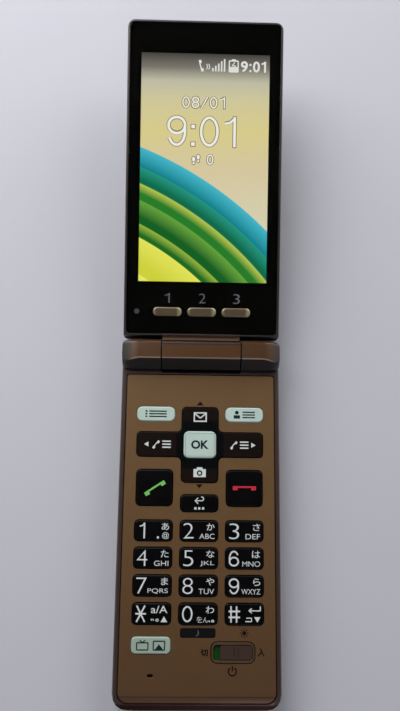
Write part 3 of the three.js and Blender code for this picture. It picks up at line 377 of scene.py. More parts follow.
# Painted light: the slope past the fold is painted a redder brown, with a painted shadow line along the
# fold.
slope = past_fold.step(thin_fade)
recoloured(panel_paint, slope * slope_light_share, tone(88, 56, 38))
recoloured(panel_paint, slope * (fold_shadow - past_fold).step(thin_fade), tone(50, 30, 20))
softened_piece("keypad_panel", "keypad_panel_plate", "base", panel_paint, edge=0.09)


# Rear housing, battery cover and hinge caps: the rear housing is bare dark plastic with a spark
# eroded grain, and the cover clipped over its back is painted copper brown. The small caps close
# the outer ends of the hinge knuckles.
pit_scale, pit_shade, pit_strength = 2600, 0.9, 0.6
wear_scale, wear_spread = 700, 0.05


def grained_plastic(name, colour, roughness, grain=0.012):
    plastic = Finish(name)
    pits = plastic.place.noise(pit_scale, 3)
    plastic.set("Base Color", pits.blend(tinted(colour, pit_shade), colour))
    plastic.rough(plastic.place.noise(wear_scale), roughness - wear_spread, roughness + wear_spread)
    plastic.bump(pits, grain, pit_strength)
    return plastic


rear_plastic = grained_plastic("rear_plastic", tone(58, 48, 44), 0.6)
cover_paint = metallic_paint("cover_paint", tone(98, 73, 52), tone(140, 110, 80), 0.44, shell_metal)
softened_piece("rear_housing", "rear_housing_shell", "base", rear_plastic, edge=0.2)
softened_piece("battery_cover", "battery_cover_shell", "base", cover_paint, edge=0.25)
for side in ("left", "right"):
    softened_piece(f"hinge_cap_{side}", f"hinge_cap_{side}_disc", "base",
                   rear_plastic, edge=0.18)


# Inside: boards, battery, shield, sockets, motor and hinge unit, all bought parts with the finish of
# their kind. Hardly any of them shows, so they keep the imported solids. A moulded rubber flap on its
# own hinge closes the connector.
def dressed(finish, *nodes):
    for node in nodes:
        for slot in bpy.data.objects[node].material_slots:
            slot.material = finish.material


board_finish = Finish("board_lacquer", Roughness=0.35, Coat_Weight=0.3)
copper = board_finish.place.node("ShaderNodeTexBrick", {"offset": 0.37}, {
    "Vector": board_finish.place, "Scale": 400, "Mortar Size": 0.03, "Color1": tone(24, 92, 52),
    "Color2": tone(18, 76, 44), "Mortar": tone(70, 128, 74)})
board_finish.set("Base Color", copper)
board_finish.bump(board_finish.place.noise(900), 0.01, 0.4)
dressed(board_finish, "main_board", "lid_board")

steel = Finish("rolled_steel", Metallic=0.95)
streaks = steel.streaks(300, 6000, 3000)
steel.cover(streaks, tone(150, 150, 152), tone(196, 196, 198), 0.24, 0.40)
steel.bump(streaks, 0.003)
screws = [f"case_screw_{number}" for number in (1, 2, 3, 4)]
dressed(steel, "shield_can", "usb_socket", "sim_socket", "vibration_motor", "hinge_cam_case",
        "hinge_cam_shaft", *screws)

blackened = Finish("blackened_steel", Metallic=0.8)
oxide = blackened.place.noise(900, 3)
blackened.cover(oxide, tone(16, 15, 15), tone(28, 26, 25), 0.5, 0.65)
blackened.bump(oxide, 0.003)
dressed(blackened, "hinge_pin")

black_plastic = grained_plastic("black_plastic", tone(30, 30, 32), 0.5, 0.006)
dressed(black_plastic, "battery_terminal", "loudspeaker", "microphone", "switch_unit", "receiver")

cell_wrap = Finish("cell_wrap", Roughness=0.3, Coat_Weight=0.5)
wrinkle = cell_wrap.place.noise(160, 4)
cell_wrap.set("Base Color", wrinkle.blend(tone(44, 46, 52), tone(58, 60, 66)))
cell_wrap.bump(wrinkle, 0.05, 0.4)
dressed(cell_wrap, "battery_pack")

mat_rubber = grained_plastic("mat_rubber", tone(186, 188, 184), 0.62, 0.01)
dressed(mat_rubber, "key_mat")
flap_rubber = grained_plastic("flap_rubber", tone(48, 40, 37), 0.7, 0.01)
softened_piece("port_cover", "port_cover_flap", "port_cover", flap_rubber, edge=0.2)


# Keys: moulded caps on a thin flange that holds them under the panel. Most are glossy black, and
# four are a pale mint resin that the light behind shines through. The flat tops have rounded edges.
flange_width, key_flange_top = 0.4, 7.95
key_edge, key_edge_steps, corner_steps = 0.4, 4, 8
same_height = 0.001


def at_height(items, height):
    """The edges or faces that lie at one height."""
    return [item for item in items if all(abs(vert.co.z - height) < same_height for vert in item.verts)]


def rounded_block(width, length, radius, low, high, middle):
    """A block with round upright corners, centred on a middle in X and Y."""
    bm = bmesh.new()
    place = Matrix.Translation((middle[0], middle[1], (low + high) / 2))
    bmesh.ops.create_cube(bm, size=1, matrix=place @ Matrix.Diagonal((width, length, high - low, 1)))
    tall = (high - low) / 2
    upright = [edge for edge in bm.edges if abs(edge.verts[0].co.z - edge.verts[1].co.z) > tall]
    bevelled(bm, upright, radius, corner_steps)
    return bm


def raised(bm, inset, from_height, rise):
    """Insets the face at from_height and lifts it by rise, with upright walls."""
    top = at_height(bm.faces, from_height)
    bmesh.ops.inset_region(bm, faces=top, thickness=inset, use_even_offset=True)
    lifted = bmesh.ops.extrude_face_region(bm, geom=top)["geom"]
    bmesh.ops.delete(bm, geom=top, context="FACES_ONLY")
    risen = [item for item in lifted if isinstance(item, bmesh.types.BMVert)]
    bmesh.ops.translate(bm, vec=(0, 0, rise), verts=risen)


def flanged_cap(low, high, radius, flange_top, edge, edge_steps=key_edge_steps):
    """A cap with a flange round its foot and a rounded top edge, in the box from low to high."""
    size = high - low
    cap = rounded_block(size.x, size.y, radius + flange_width, low.z, flange_top, (low + high) / 2)
    raised(cap, flange_width, flange_top, high.z - flange_top)
    bevelled(cap, at_height(cap.edges, high.z), edge, edge_steps)
    return cap


resin_relief_scale = 3000
black_resin = Finish("black_resin", Coat_Weight=0.05, Coat_Roughness=0.10, Specular_IOR_Level=0.12)
black_resin.cover(black_resin.place.noise(240, 4), tone(4, 4, 5), tone(9, 8, 10), 0.26, 0.42)
black_resin.bump(black_resin.place.noise(resin_relief_scale), 0.002)

ok_low, ok_high = box_mm("ok_key")
ok_size, ok_centre = ok_high - ok_low, (ok_low + ok_high) / 2
border_from, border_to, border_fade = 0.45, 0.85, 0.15
photo_key_from, photo_key_shade_share = -20, 0.55
mint_resin = Finish("mint_resin", Coat_Weight=0.2, Coat_Roughness=0.2, Emission_Strength=0.13)
cloud = mint_resin.place.noise(120, 3)
mint_colour = cloud.blend(tone(162, 182, 172), tone(180, 196, 188))
ok_across = (mint_resin.at("X") - ok_centre.x).math("ABSOLUTE") - ok_size.x / 2
ok_along = (mint_resin.at("Y") - ok_centre.y).math("ABSOLUTE") - ok_size.y / 2
from_rim = ok_across.math("MAXIMUM", ok_along).math("ABSOLUTE")
border = (from_rim - border_from).step(border_fade) * (border_to - from_rim).step(border_fade)
mint_colour = border.blend(mint_colour, tone(134, 158, 152))
# Painted shade: the mint key low on the keypad is painted darker and greyer.
on_photo_key = (photo_key_from - mint_resin.at("Y")).step()
mint_colour = (on_photo_key * photo_key_shade_share).blend(mint_colour, tone(110, 124, 104))
mint_resin.set("Base Color", mint_colour)
mint_resin.set("Emission Color", mint_colour)
mint_resin.rough(cloud, 0.32, 0.44)
mint_resin.bump(mint_resin.place.noise(2600), 0.003)

number_keys = [f"key_{sign}" for sign in (*"123456789", "star", "0", "hash")]
black_corners = dict.fromkeys(number_keys, 1.15) | {"call_key": 1.3, "end_key": 1.3, "back_key": 1.2}
mint_corners = {"menu_key": 1.7, "contacts_key": 1.7, "photo_key": 1.3}
for corners, resin, slot in ((black_corners, black_resin, "key_black"),
                             (mint_corners, mint_resin, "key_lit")):
    for node, corner_radius in corners.items():
        cap = flanged_cap(*box_mm(node), corner_radius, key_flange_top, key_edge)
        finished(cap, f"{node}_cap", node, resin, [node])

ok_skirt, ok_corner, ok_edge = 8.3, 1.7, 0.5
plunger_share, plunger_corner, plunger_lap = 0.48, 0.8, 0.2
ok_cap = rounded_block(ok_size.x, ok_size.y, ok_corner, ok_skirt, ok_high.z, ok_centre)
bevelled(ok_cap, at_height(ok_cap.edges, ok_high.z), ok_edge, key_edge_steps)
plunger = rounded_block(plunger_share * ok_size.x, plunger_share * ok_size.y, plunger_corner, ok_low.z,
                        ok_skirt + plunger_lap, ok_centre)
plunger_mesh = bpy.data.meshes.new("ok_plunger")
plunger.to_mesh(plunger_mesh)
plunger.free()
ok_cap.from_mesh(plunger_mesh)
finished(ok_cap, "ok_key_cap", "ok_key", mint_resin, ["ok_key"])

collar_from, collar_fade = 7.2, 0.5
nav_resin = Finish("nav_resin", Coat_Weight=0.05, Coat_Roughness=0.12, Specular_IOR_Level=0.12)
nav_across = (nav_resin.at("X") - ok_centre.x).math("ABSOLUTE")
nav_along = (nav_resin.at("Y") - ok_centre.y).math("ABSOLUTE")
collar = (nav_across.math("MAXIMUM", nav_along) - collar_from).step(collar_fade)
nav_resin.set("Base Color", collar.blend(tone(5, 6, 8), tone(22, 14, 11)))
nav_resin.rough(nav_resin.place.noise(300), 0.3, 0.42)
nav_resin.bump(nav_resin.place.noise(resin_relief_scale), 0.002)
softened_piece("nav_key", "nav_key_cross", "nav_key", nav_resin, edge=0.3)
dressed(black_plastic, "nav_pivot")


# Printing on the keys: ink a few hundredths of a millimetre thick, screen printed. The signs are the
# plain ones of any keypad; what would be words is a plain icon.
ink_depth, ink_sunk = 0.03, 0.01
bar_faces, bar_lift, bar_lifts = 6, 0.0015, 8
grit_scale = 4000
white_ink = Finish("white_ink", Roughness=0.5, Emission_Strength=0.12)
white_ink_colour = white_ink.place.noise(grit_scale).blend(tone(184, 188, 188), tone(204, 208, 206))
white_ink.set("Base Color", white_ink_colour)
white_ink.set("Emission Color", white_ink_colour)


def ink(name, colour):
    made = Finish(name, Roughness=0.6, Specular_IOR_Level=0.1)
    made.set("Base Color", made.place.noise(grit_scale).blend(tinted(colour, 0.88), colour))
    return made


dark_ink = ink("dark_ink", tone(12, 38, 40))
green_ink = ink("green_ink", tone(120, 196, 98))
red_ink = ink("red_ink", tone(200, 44, 66))
black_ink = ink("black_ink", tone(14, 14, 16))


def arc(left, right, low, high, start, end, steps=20):
    """Points on the ellipse that fills a box, between two angles in degrees."""
    turns = [math.radians(start + (end - start) * step / steps) for step in range(steps + 1)]
    return [((left + right) / 2 + (right - left) / 2 * math.cos(turn),
             (low + high) / 2 + (high - low) / 2 * math.sin(turn)) for turn in turns]


class Print:
    """Ink on a flat face at a height top, with its places in mm from an origin on that face."""
    nine_ring_share, nine_tail, zero_steps = 0.62, (22, -150), 28
    flag_shares, flag_width_share = ((0, 0.23), (0.55, 0.19), (1, 0.05)), 0.8
    grip_width, ear_width, ear_length, ear_drop = 0.62, 1.1, 1.7, 0.55

    def __init__(self, top, origin=(0, 0)):
        self.bm, self.top, self.origin = bmesh.new(), top, Vector(origin)

    def bar(self, start, end, width):
        """A straight bar; each lies a hair higher than the last, so that bars may cross."""
        start, end = Vector(start), Vector(end)
        run = end - start
        middle = self.origin + (start + end) / 2
        depth = ink_depth + ink_sunk + len(self.bm.faces) // bar_faces % bar_lifts * bar_lift
        place = Matrix.Translation((middle.x, middle.y, self.top - ink_sunk + depth / 2))
        turn = Matrix.Rotation(math.atan2(run.y, run.x), 4, "Z")
        bmesh.ops.create_cube(self.bm, size=1,
                              matrix=place @ turn @ Matrix.Diagonal((run.length, width, depth, 1)))

    def line(self, points, width):
        for start, end in zip(points, points[1:]):
            self.bar(start, end, width)

    def rows(self, left, right, step, width):
        """Three level bars, one on the origin's height and one each a step below and above it."""
        for level in (-step, 0, step):
            self.bar((left, level), (right, level), width)

    def block(self, left, right, low, high):
        self.bar((left, (low + high) / 2), (right, (low + high) / 2), high - low)

    def frame(self, left, right, low, high, width):
        self.line([(left, low), (right, low), (right, high), (left, high), (left, low)], width)

    def letters(self, words, left, right, low, high, weight=0.0, stretch=True):
        """Characters that fill a box, or that fit into it in their own proportions."""
        text = bpy.data.curves.new("lettering", "FONT")
        text.body, text.extrude, text.offset = words, 0.5, weight
        holder = bpy.data.objects.new("lettering", text)
        bpy.context.scene.collection.objects.link(holder)
        mesh = bpy.data.meshes.new_from_object(holder.evaluated_get(bpy.context.evaluated_depsgraph_get()))
        bpy.data.objects.remove(holder)
        xs = [vert.co.x for vert in mesh.vertices]
        ys = [vert.co.y for vert in mesh.vertices]
        wide, tall = max(xs) - min(xs), max(ys) - min(ys)
        across, along = (right - left) / wide, (high - low) / tall
        if not stretch:
            across = along = min(across, along)
        middle = Vector((min(xs) + wide / 2, min(ys) + tall / 2, -text.extrude))
        place = self.origin.to_3d() + Vector(((left + right) / 2, (low + high) / 2, self.top - ink_sunk))
        size = Matrix.Diagonal((across, along, ink_depth + ink_sunk, 1))
        mesh.transform(Matrix.Translation(place) @ size @ Matrix.Translation(-middle))
        self.bm.from_mesh(mesh)

    def dot(self, middle, half):
        x, y = middle
        self.letters("●", x - half, x + half, y - half, y + half)

    def nine(self, left, right, low, high, width, turned=False):
        """A figure nine with a curled tail, or the six that it makes when turned round."""
        half = width / 2
        inner = (left + half, right - half, low + half, high - half)
        ring_low = high - self.nine_ring_share * (high - low) + half
        points = arc(*inner[:2], ring_low, inner[3], 0, 360) + arc(*inner, *self.nine_tail)
        if turned:
            points = [(left + right - x, low + high - y) for x, y in points]
        self.line(points, width)

    def zero(self, left, right, low, high, width):
        half = width / 2
        self.line(arc(left + half, right - half, low + half, high - half, 0, 360, self.zero_steps), width)

    def one(self, left, right, low, high, width):
        """A figure one with a flag and no foot."""
        stem = right - width / 2
        self.bar((stem, low), (stem, high), width)
        flag = [(left + share * (stem - left), high - drop * (high - low))
                for share, drop in self.flag_shares]
        self.line(flag, self.flag_width_share * width)

    def handset(self, middle, length, turn, scale):
        """A telephone receiver seen from the side: a bar with an ear piece under each end."""
        spin = Matrix.Rotation(math.radians(turn), 2)
        middle, drop = Vector(middle), Vector((0, -self.ear_drop * scale))
        ends = [Vector((side * length / 2, 0)) for side in (-1, 1)]
        self.bar(middle + spin @ ends[0], middle + spin @ ends[1], self.grip_width * scale)
        for side, end in zip((-1, 1), ends):
            inner = end - Vector((side * self.ear_length * scale, 0))
            self.bar(middle + spin @ (end + drop), middle + spin @ (inner + drop), self.ear_width * scale)


figure_width, figure_height, figure_bar, figure_weight = 3.2, 4.7, 0.48, -0.017
figure_left, figure_drop, right_margin = 0.95, 0.72, 0.95
figure_box = (0, figure_width, 0, figure_height)
star_lean, one_left, one_right = 0.35, 0.6, 2.3
hash_shift, hash_longer, hash_bar = 0.85, 0.3, 0.5
kana_height, kana_weight = 2.15, 0.004
letters_height, letters_weight = 1.55, -0.004
key_letters = {
    "key_1": ("あ", 2.3, "", 0), "key_2": ("か", 2.5, "ABC", 4.7), "key_3": ("さ", 2.2, "DEF", 4.5),
    "key_4": ("た", 2.4, "GHI", 4.4), "key_5": ("な", 2.5, "JKL", 4.4), "key_6": ("は", 2.5, "MNO", 5.5),
    "key_7": ("ま", 2.1, "PQRS", 6.2), "key_8": ("や", 2.5, "TUV", 4.8), "key_9": ("ら", 2.2, "WXYZ", 5.8),
    "key_star": ("a/A", 5.0, "", 0), "key_0": ("わ", 2.5, "", 0), "key_hash": ("", 0, "", 0),
}
# Small signs beside a figure, each with its points or its box in mm from the face's right margin and
# the figure's foot, and then the width of its bars or the weight of its characters.
small_signs = {
    "key_1": [(Print.letters, "@", -2.1, 0, -0.15, 1.85), (Print.line, [(-3.7, 0.3), (-3.1, 0.3)], 0.6)],
    "key_star": [(Print.line, [(-4.95, 0.95), (-4.65, 0.4)], 0.26),
                 (Print.line, [(-4.4, 0.95), (-4.1, 0.4)], 0.26),
                 (Print.zero, -3.6, -2.6, 0.1, 1.0, 0.26), (Print.letters, "▲", -2.05, 0, 0, 1.65)],
    "key_0": [(Print.letters, "を", -5.3, -3.55, -0.1, 1.65, -0.01),
              (Print.letters, "ん", -3.35, -1.75, -0.05, 1.45, -0.006),
              (Print.line, [(-1.6, 0.5), (-1.2, 0.1)], 0.3), (Print.zero, -0.85, 0.05, 0, 0.8, 0.26)],
    "key_hash": [(Print.line, [(0, 4.7), (0, 3.4), (-3.4, 3.4)], 0.32),
                 (Print.line, [(-2.6, 4.1), (-3.5, 3.4), (-2.6, 2.7)], 0.32),
                 (Print.line, [(-4.3, 1.3), (-2.7, 1.3), (-2.7, 0.3), (-4.6, 0.3)], 0.28),
                 (Print.letters, "▼", -1.9, 0, 0, 1.6)],
}
for node, (kana, kana_width, letters, letters_width) in key_letters.items():
    low, high = box_mm(node)
    foot = high.y - flange_width - figure_drop - figure_height
    legend = Print(high.z, (low.x + flange_width + figure_left, foot))
    if node == "key_star":
        legend.bar((star_lean, figure_height), (figure_width - star_lean, 0), figure_bar)
        legend.bar((figure_width - star_lean, figure_height), (star_lean, 0), figure_bar)
        legend.bar((0, figure_height / 2), (figure_width, figure_height / 2), figure_bar)
    elif node == "key_hash":
        for shift in (-hash_shift, hash_shift):
            across, along = figure_width / 2 + shift, figure_height / 2 + shift
            legend.bar((across, 0), (across, figure_height), figure_bar)
            legend.bar((0, along), (figure_width + hash_longer, along), hash_bar)
    elif node == "key_1":
        legend.one(one_left, one_right, 0, figure_height, figure_bar)
    elif node in ("key_6", "key_9"):
        legend.nine(*figure_box, figure_bar, turned=node == "key_6")
    elif node == "key_0":
        legend.zero(*figure_box, figure_bar)
    else:
        legend.letters(node[-1], *figure_box, figure_weight)
    legend.origin.x = high.x - flange_width - right_margin
    for draw, *places in small_signs.get(node, ()):
        draw(legend, *places)
    if kana:
        legend.letters(kana, -kana_width, 0, figure_height - kana_height, figure_height, kana_weight)
    if letters:
        legend.letters(letters, -letters_width, 0, 0, letters_height, letters_weight)
    finished(legend.bm, f"{node}_legend", node, white_ink)


def key_print(node):
    """Printing on a key's flat top, placed from the middle of the key."""
    low, high = box_mm(node)
    return Print(high.z, ((low + high) / 2).xy)


call_length, call_scale = 7.3, 0.9
for node, finish, turn, lift in (("call_key", green_ink, 33, 0.1), ("end_key", red_ink, 0, 0.45)):
    sign = key_print(node)
    sign.handset((0, lift), call_length, turn, call_scale)
    finished(sign.bm, f"{node}_sign", node, finish)


# Printing on the direction key, the centre key and the keys beside them: an envelope, a camera, two
# call lists with arrows, the letters OK, and plain signs for a menu, names, back and pictures.
nav_low, nav_high = box_mm("nav_key")
nav_signs = Print(nav_high.z)
sign_bar = 0.42
post_half, post_low, post_high = 1.9, 32.05, 34.7
fold_share, fold_drop, fold_foot = 0.92, 0.25, 1.0
nav_signs.frame(-post_half, post_half, post_low, post_high, sign_bar)
bar_half = sign_bar / 2
for side in (-post_half, post_half):
    nav_signs.bar((side * fold_share, post_high - fold_drop), (0, post_low + fold_foot), sign_bar)
    nav_signs.block(side - bar_half, side + bar_half, post_low - bar_half, post_high + bar_half)
camera_half, camera_low, camera_high = 1.95, 14.5, 17.0
hump_half, hump_height = 0.9, 0.55
nav_signs.block(-camera_half, camera_half, camera_low, camera_high)
nav_signs.block(-hump_half, hump_half, camera_high, camera_high + hump_height)
arrow_inset, arrow_length, arrow_half = 2.6, 1.4, 0.8
nav_signs.origin.y = ok_centre.y
arrow_left, arrow_right = nav_low.x + arrow_inset, nav_high.x - arrow_inset
nav_signs.letters("◀", arrow_left, arrow_left + arrow_length, -arrow_half, arrow_half)
nav_signs.letters("▶", arrow_right - arrow_length, arrow_right, -arrow_half, arrow_half)
call_middle, handset_shift, list_shift, list_half, list_step = 12.35, -1.7, 1.75, 1.35, 0.95
for middle in (-call_middle, call_middle):
    nav_signs.handset((middle + handset_shift, 0), length=3.0, turn=50, scale=0.5)
    list_middle = middle + list_shift
    nav_signs.rows(list_middle - list_half, list_middle + list_half, list_step, sign_bar)
finished(nav_signs.bm, "nav_key_signs", "nav_key", white_ink)

ring_half, spot_half = 0.88, 0.45
camera_middle = (0, (camera_low + camera_high) / 2)
lens_ring = Print(nav_high.z + ink_depth)
lens_ring.dot(camera_middle, ring_half)
finished(lens_ring.bm, "nav_key_lens_ring", "nav_key", black_ink)
lens_spot = Print(nav_high.z + 2 * ink_depth)
lens_spot.dot(camera_middle, spot_half)
finished(lens_spot.bm, "nav_key_lens_spot", "nav_key", white_ink)

ok_half_width, ok_half_height, ok_weight = 2.78, 1.35, 0.035
ok_sign = Print(ok_high.z, (0, ok_centre.y))
ok_sign.letters("OK", -ok_half_width, ok_half_width, -ok_half_height, ok_half_height, ok_weight)
finished(ok_sign.bm, "ok_key_sign", "ok_key", dark_ink)

row_step, row_right, row_bar = 0.85, 3.4, 0.4
menu_row_left, bullet_left, bullet_right, bullet_bar = -2.2, -3.4, -2.8, 0.5
menu_sign = key_print("menu_key")
for level in (-row_step, 0, row_step):
    menu_sign.bar((menu_row_left, level), (row_right, level), row_bar)
    menu_sign.bar((bullet_left, level), (bullet_right, level), bullet_bar)
finished(menu_sign.bm, "menu_key_sign", "menu_key", dark_ink)

head_middle, head_half, names_left = (-2.4, 0.7), 0.6, -0.6
shoulders = (-3.4, -1.4, -1.2, -0.15)
contacts_sign = key_print("contacts_key")
contacts_sign.dot(head_middle, head_half)
contacts_sign.block(*shoulders)
contacts_sign.rows(names_left, row_right, row_step, row_bar)
finished(contacts_sign.bm, "contacts_key_sign", "contacts_key", dark_ink)

back_arrow, back_weight = (-2.7, 2.7, -0.2, 2.15), 0.01
mark_pitch, mark_half, mark_low, mark_high = 1.2, 0.35, -1.85, -1.15
back_sign = key_print("back_key")
back_sign.letters("↩", *back_arrow, back_weight, stretch=False)
for middle in (-mark_pitch, 0, mark_pitch):
    back_sign.block(middle - mark_half, middle + mark_half, mark_low, mark_high)
finished(back_sign.bm, "back_key_sign", "back_key", white_ink)

television_box, picture_box, box_bar = (-4.2, -0.8, -1.25, 0.8), (0.8, 4.2, -1.25, 1.25), 0.35
aerial_foot, aerial_spread, aerial_top, aerial_bar = -2.5, 0.8, 1.5, 0.3
hill = (1.3, 3.7, -1.1, 0.4)
photo_sign = key_print("photo_key")
photo_sign.frame(*television_box, box_bar)
photo_sign.frame(*picture_box, box_bar)
for spread in (-aerial_spread, aerial_spread):
    photo_sign.bar((aerial_foot, television_box[3]), (aerial_foot + spread, aerial_top), aerial_bar)
photo_sign.letters("▲", *hill)
finished(photo_sign.bm, "photo_key_sign", "photo_key", dark_ink)


# Panel printing: arrows by the direction key, the sound label under the zero key, and the marks
# round the sliding switch, with the signs for off and on drawn in bars.
panel_top = panel_high.z
panel_print = Print(panel_top)
up_arrow, down_arrow = (-1.2, 1.1, 37.15, 38.45), (-1.15, 1.05, 11.05, 12.3)
panel_print.letters("▲", *up_arrow)
panel_print.letters("▼", *down_arrow)
sun, sun_half, rays, ray_from, ray_to, ray_bar = Vector((14.1, -31.75)), 0.6, 8, 0.85, 1.35, 0.26
for step in range(rays):
    ray = Matrix.Rotation(step * 2 * math.pi / rays, 2) @ Vector((1, 0))
    panel_print.bar(sun + ray_from * ray, sun + ray_to * ray, ray_bar)
panel_print.dot(sun, sun_half)
off_sign = [[(0.95, -37.2), (1.95, -36.95)], [(1.4, -36.35), (1.4, -37.95), (1.95, -37.8)],
            [(1.95, -36.65), (3.0, -36.65), (2.9, -38.2), (2.5, -38.15)],
            [(2.5, -36.65), (2.35, -37.5), (1.9, -38.3)]]
on_sign = [[(18.75, -36.35), (19.2, -36.35), (19.45, -37.2), (20.15, -38.3)],
           [(19.3, -36.9), (18.9, -37.6), (18.1, -38.3)]]
character_bar = 0.32
for points in off_sign + on_sign:
    panel_print.line(points, character_bar)
power_box, power_from, power_to = (9.3, 11.7, -43.8, -41.4), 125, 415
power_stem, power_bar = [(10.5, -42.5), (10.5, -41.1)], 0.4
panel_print.line(arc(*power_box, power_from, power_to), power_bar)
panel_print.line(power_stem, power_bar)
brown_ink = ink("brown_ink", tone(22, 7, 4))
finished(panel_print.bm, "panel_print", "base", brown_ink)

label_width, label_length, label_corner, label_middle = 10.8, 2.8, 0.7, (0, -31.78)
note_box = (-0.9, 0.9, -32.7, -30.85)
label_top = panel_top + ink_depth
label = rounded_block(label_width, label_length, label_corner, panel_top - ink_sunk, label_top, label_middle)
finished(label, "sound_label", "base", black_ink)
grey_ink = ink("grey_ink", tone(92, 88, 96))
label_sign = Print(label_top)
label_sign.letters("♪", *note_box, stretch=False)
finished(label_sign.bm, "sound_label_sign", "base", grey_ink)


# Sliding switch: a bezel pressed into the panel, a ribbed slider, and a green patch under it that
# shows while the switch is on.
bezel_paint = metallic_paint("bezel_paint", tone(80, 58, 42), tone(112, 86, 64), 0.45, 0.25, coat=0.2)
slider_paint = metallic_paint("slider_paint", tone(60, 42, 32), tone(84, 62, 46), 0.5, 0.2, coat=0.1)
flank_from, flank_fade = 0.25, 0.1
# Painted shade: the flanks of the slider's ribs are painted near black.
rib_flank_shade = (slider_paint.facing("X").math("ABSOLUTE") - flank_from).step(flank_fade)
recoloured(slider_paint, rib_flank_shade, tone(18, 10, 7))
softened_piece("switch_bezel", "switch_bezel_ring", "base", bezel_paint, edge=0.15)
softened_piece("power_slider", "power_slider_knob", "power_slider",
               slider_paint, edge=0.1)
patch_green = ink("patch_green", tone(22, 70, 20))
patch_width, patch_length, patch_corner, patch_inset = 3.6, 4.3, 0.3, 2.4
patch_low, patch_high = 8.405, 8.5
bezel_low, bezel_high = box_mm("switch_bezel")
patch_middle = (bezel_low.x + patch_inset, (bezel_low.y + bezel_high.y) / 2)
patch = rounded_block(patch_width, patch_length, patch_corner, patch_low, patch_high, patch_middle)
finished(patch, "switch_green_patch", "base", patch_green)


# Lid cover and lid frame: the outer shell with the hinge barrel and neck, painted like the base,
# and the thin grey rim that holds the window. The neck carries painted light; the barrel has the
# hinge's painted highlight and painted shade, and its seams, its back edge, the lid's frontward faces
# and the rim's low and high faces are painted darker as painted shade.
open_tilt = math.radians(180 - lid_hinge["range_deg"][1])
lid_place = Matrix.Translation(lid_axis) @ Matrix.Rotation(open_tilt, 4, "X")


def on_lid(bm):
    bmesh.ops.transform(bm, matrix=lid_place, verts=bm.verts)
    return bm


def lid_box(node):
    """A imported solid's lowest and highest corner, in mm, along the lid's own axes."""
    from_lid = lid_place.inverted()
    places = [from_lid @ (vert.co / mm) for vert in bpy.data.objects[node].data.vertices]
    return [Vector([pick(place[axis] for place in places) for axis in range(3)]) for pick in (min, max)]


def along_lid(finish):
    """The finish's place in mm along the lid's own axes."""
    return finish.place.node("ShaderNodeMapping", {"vector_type": "TEXTURE"}, {
        "Vector": finish.place, "Location": lid_axis * mm, "Rotation": (open_tilt, 0, 0),
        "Scale": (mm, mm, mm)})


barrel_reach, barrel_fade, barrel_coat_loss = 2, 0.5, 0.2
neck_from, neck_to, neck_fade, neck_light_colour = 3.9, 8.0, 0.2, tone(150, 116, 92)
strip_low, strip_high = -1.7, -0.9
lid_seam_to, lid_seam_low, lid_seam_facing, lid_seam_fade = 4.7, -1.25, 0.7, 0.15
back_from, back_to, back_low, back_fade_in, back_shade_share = 55.2, 56.95, 12.5, 1.2, 0.85
barrel_seam_reach, neck_light_share, under_facing, facing_fade = 0.14, 0.5, 0.5, 0.2
rim_low_facing, rim_high_facing, rim_high_shade_share = 0.6, 0.5, 0.7

lid_paint = metallic_paint("lid_paint", tone(88, 60, 36), tone(130, 96, 64), 0.38, shell_metal)
lid_along = lid_paint.at("Y")
barrel_share = (lid_axis.y + barrel_reach - lid_along).step(barrel_fade)
hinge_colours(lid_paint, barrel_share, tone(83, 51, 21))
lid_point = along_lid(lid_paint)
lid_reach, lid_rise = lid_point.part("Y"), lid_point.part("Z")
neck_share = (lid_reach - neck_from).step(neck_fade) * (neck_to - lid_reach).step(thin_fade)
strip_light_share = neck_share * (strip_high - lid_rise).step(thin_fade) * (lid_rise - strip_low).step(thin_fade)
# Painted light: the neck, and fully a strip along it, is painted a pale grey brown, though it lies in the
# lid's shadow.
recoloured(lid_paint, neck_share * neck_light_share, neck_light_colour)
recoloured(lid_paint, strip_light_share, neck_light_colour)
# Painted shade: the steep back face of the barrel next to the neck is painted near black.
lid_seam_shade = ((lid_paint.facing("Y") - lid_seam_facing).step(lid_seam_fade)
              * (lid_seam_to - lid_reach).step(thin_fade) * (lid_rise - lid_seam_low).step(thin_fade))
recoloured(lid_paint, lid_seam_shade, tone(8, 4, 3))
# Painted shade: the barrel's top is painted darker along its back edge.
back_edge_shade = ((lid_along - back_from).step(back_fade_in) * (back_to - lid_along).step(thin_fade)
              * (lid_paint.at("Z") - back_low).step(thin_fade))
recoloured(lid_paint, back_edge_shade * back_shade_share, tone(38, 21, 12))
# Painted shade: lid faces turned frontward, off the barrel, are painted dark.
under_shade_share = (1 - barrel_share) * (lid_paint.facing("Y") * -1 - under_facing).step(facing_fade)
recoloured(lid_paint, under_shade_share, tone(20, 15, 14))
barrel_side = lid_paint.at("X").math("ABSOLUTE")
# Painted shade: the barrel's ends next to the seams are painted near black and made rough.
barrel_seam_shade = barrel_share * (barrel_side - barrel_half + barrel_seam_reach).step(seam_fade)
recoloured(lid_paint, barrel_seam_shade, seam_shade_colour)
roughened(lid_paint, barrel_seam_shade, seam_roughness)
no_coat = (barrel_seam_shade + lid_seam_shade + back_edge_shade).math("MINIMUM", 1)
lid_paint.set("Coat Weight", (1 - no_coat) * (full_coat - barrel_share * barrel_coat_loss))
rim_paint = metallic_paint("rim_paint", tone(60, 55, 52), tone(94, 88, 84), 0.34, 0.42, coat=0.25)
# Painted shade: the rim's faces turned frontward are painted dark, and those turned back a little darker.
rim_low_shade = (rim_paint.facing("Y") * -1 - rim_low_facing).step(facing_fade)
rim_high_shade = (rim_paint.facing("Y") - rim_high_facing).step(facing_fade)
recoloured(rim_paint, rim_low_shade, tone(26, 23, 23))
recoloured(rim_paint, rim_high_shade * rim_high_shade_share, tone(38, 33, 31))
softened_piece("lid_cover", "lid_cover_shell", "lid", lid_paint, edge=0.16)
softened_piece("lid_frame", "lid_frame_rim", "lid", rim_paint, edge=0.14)


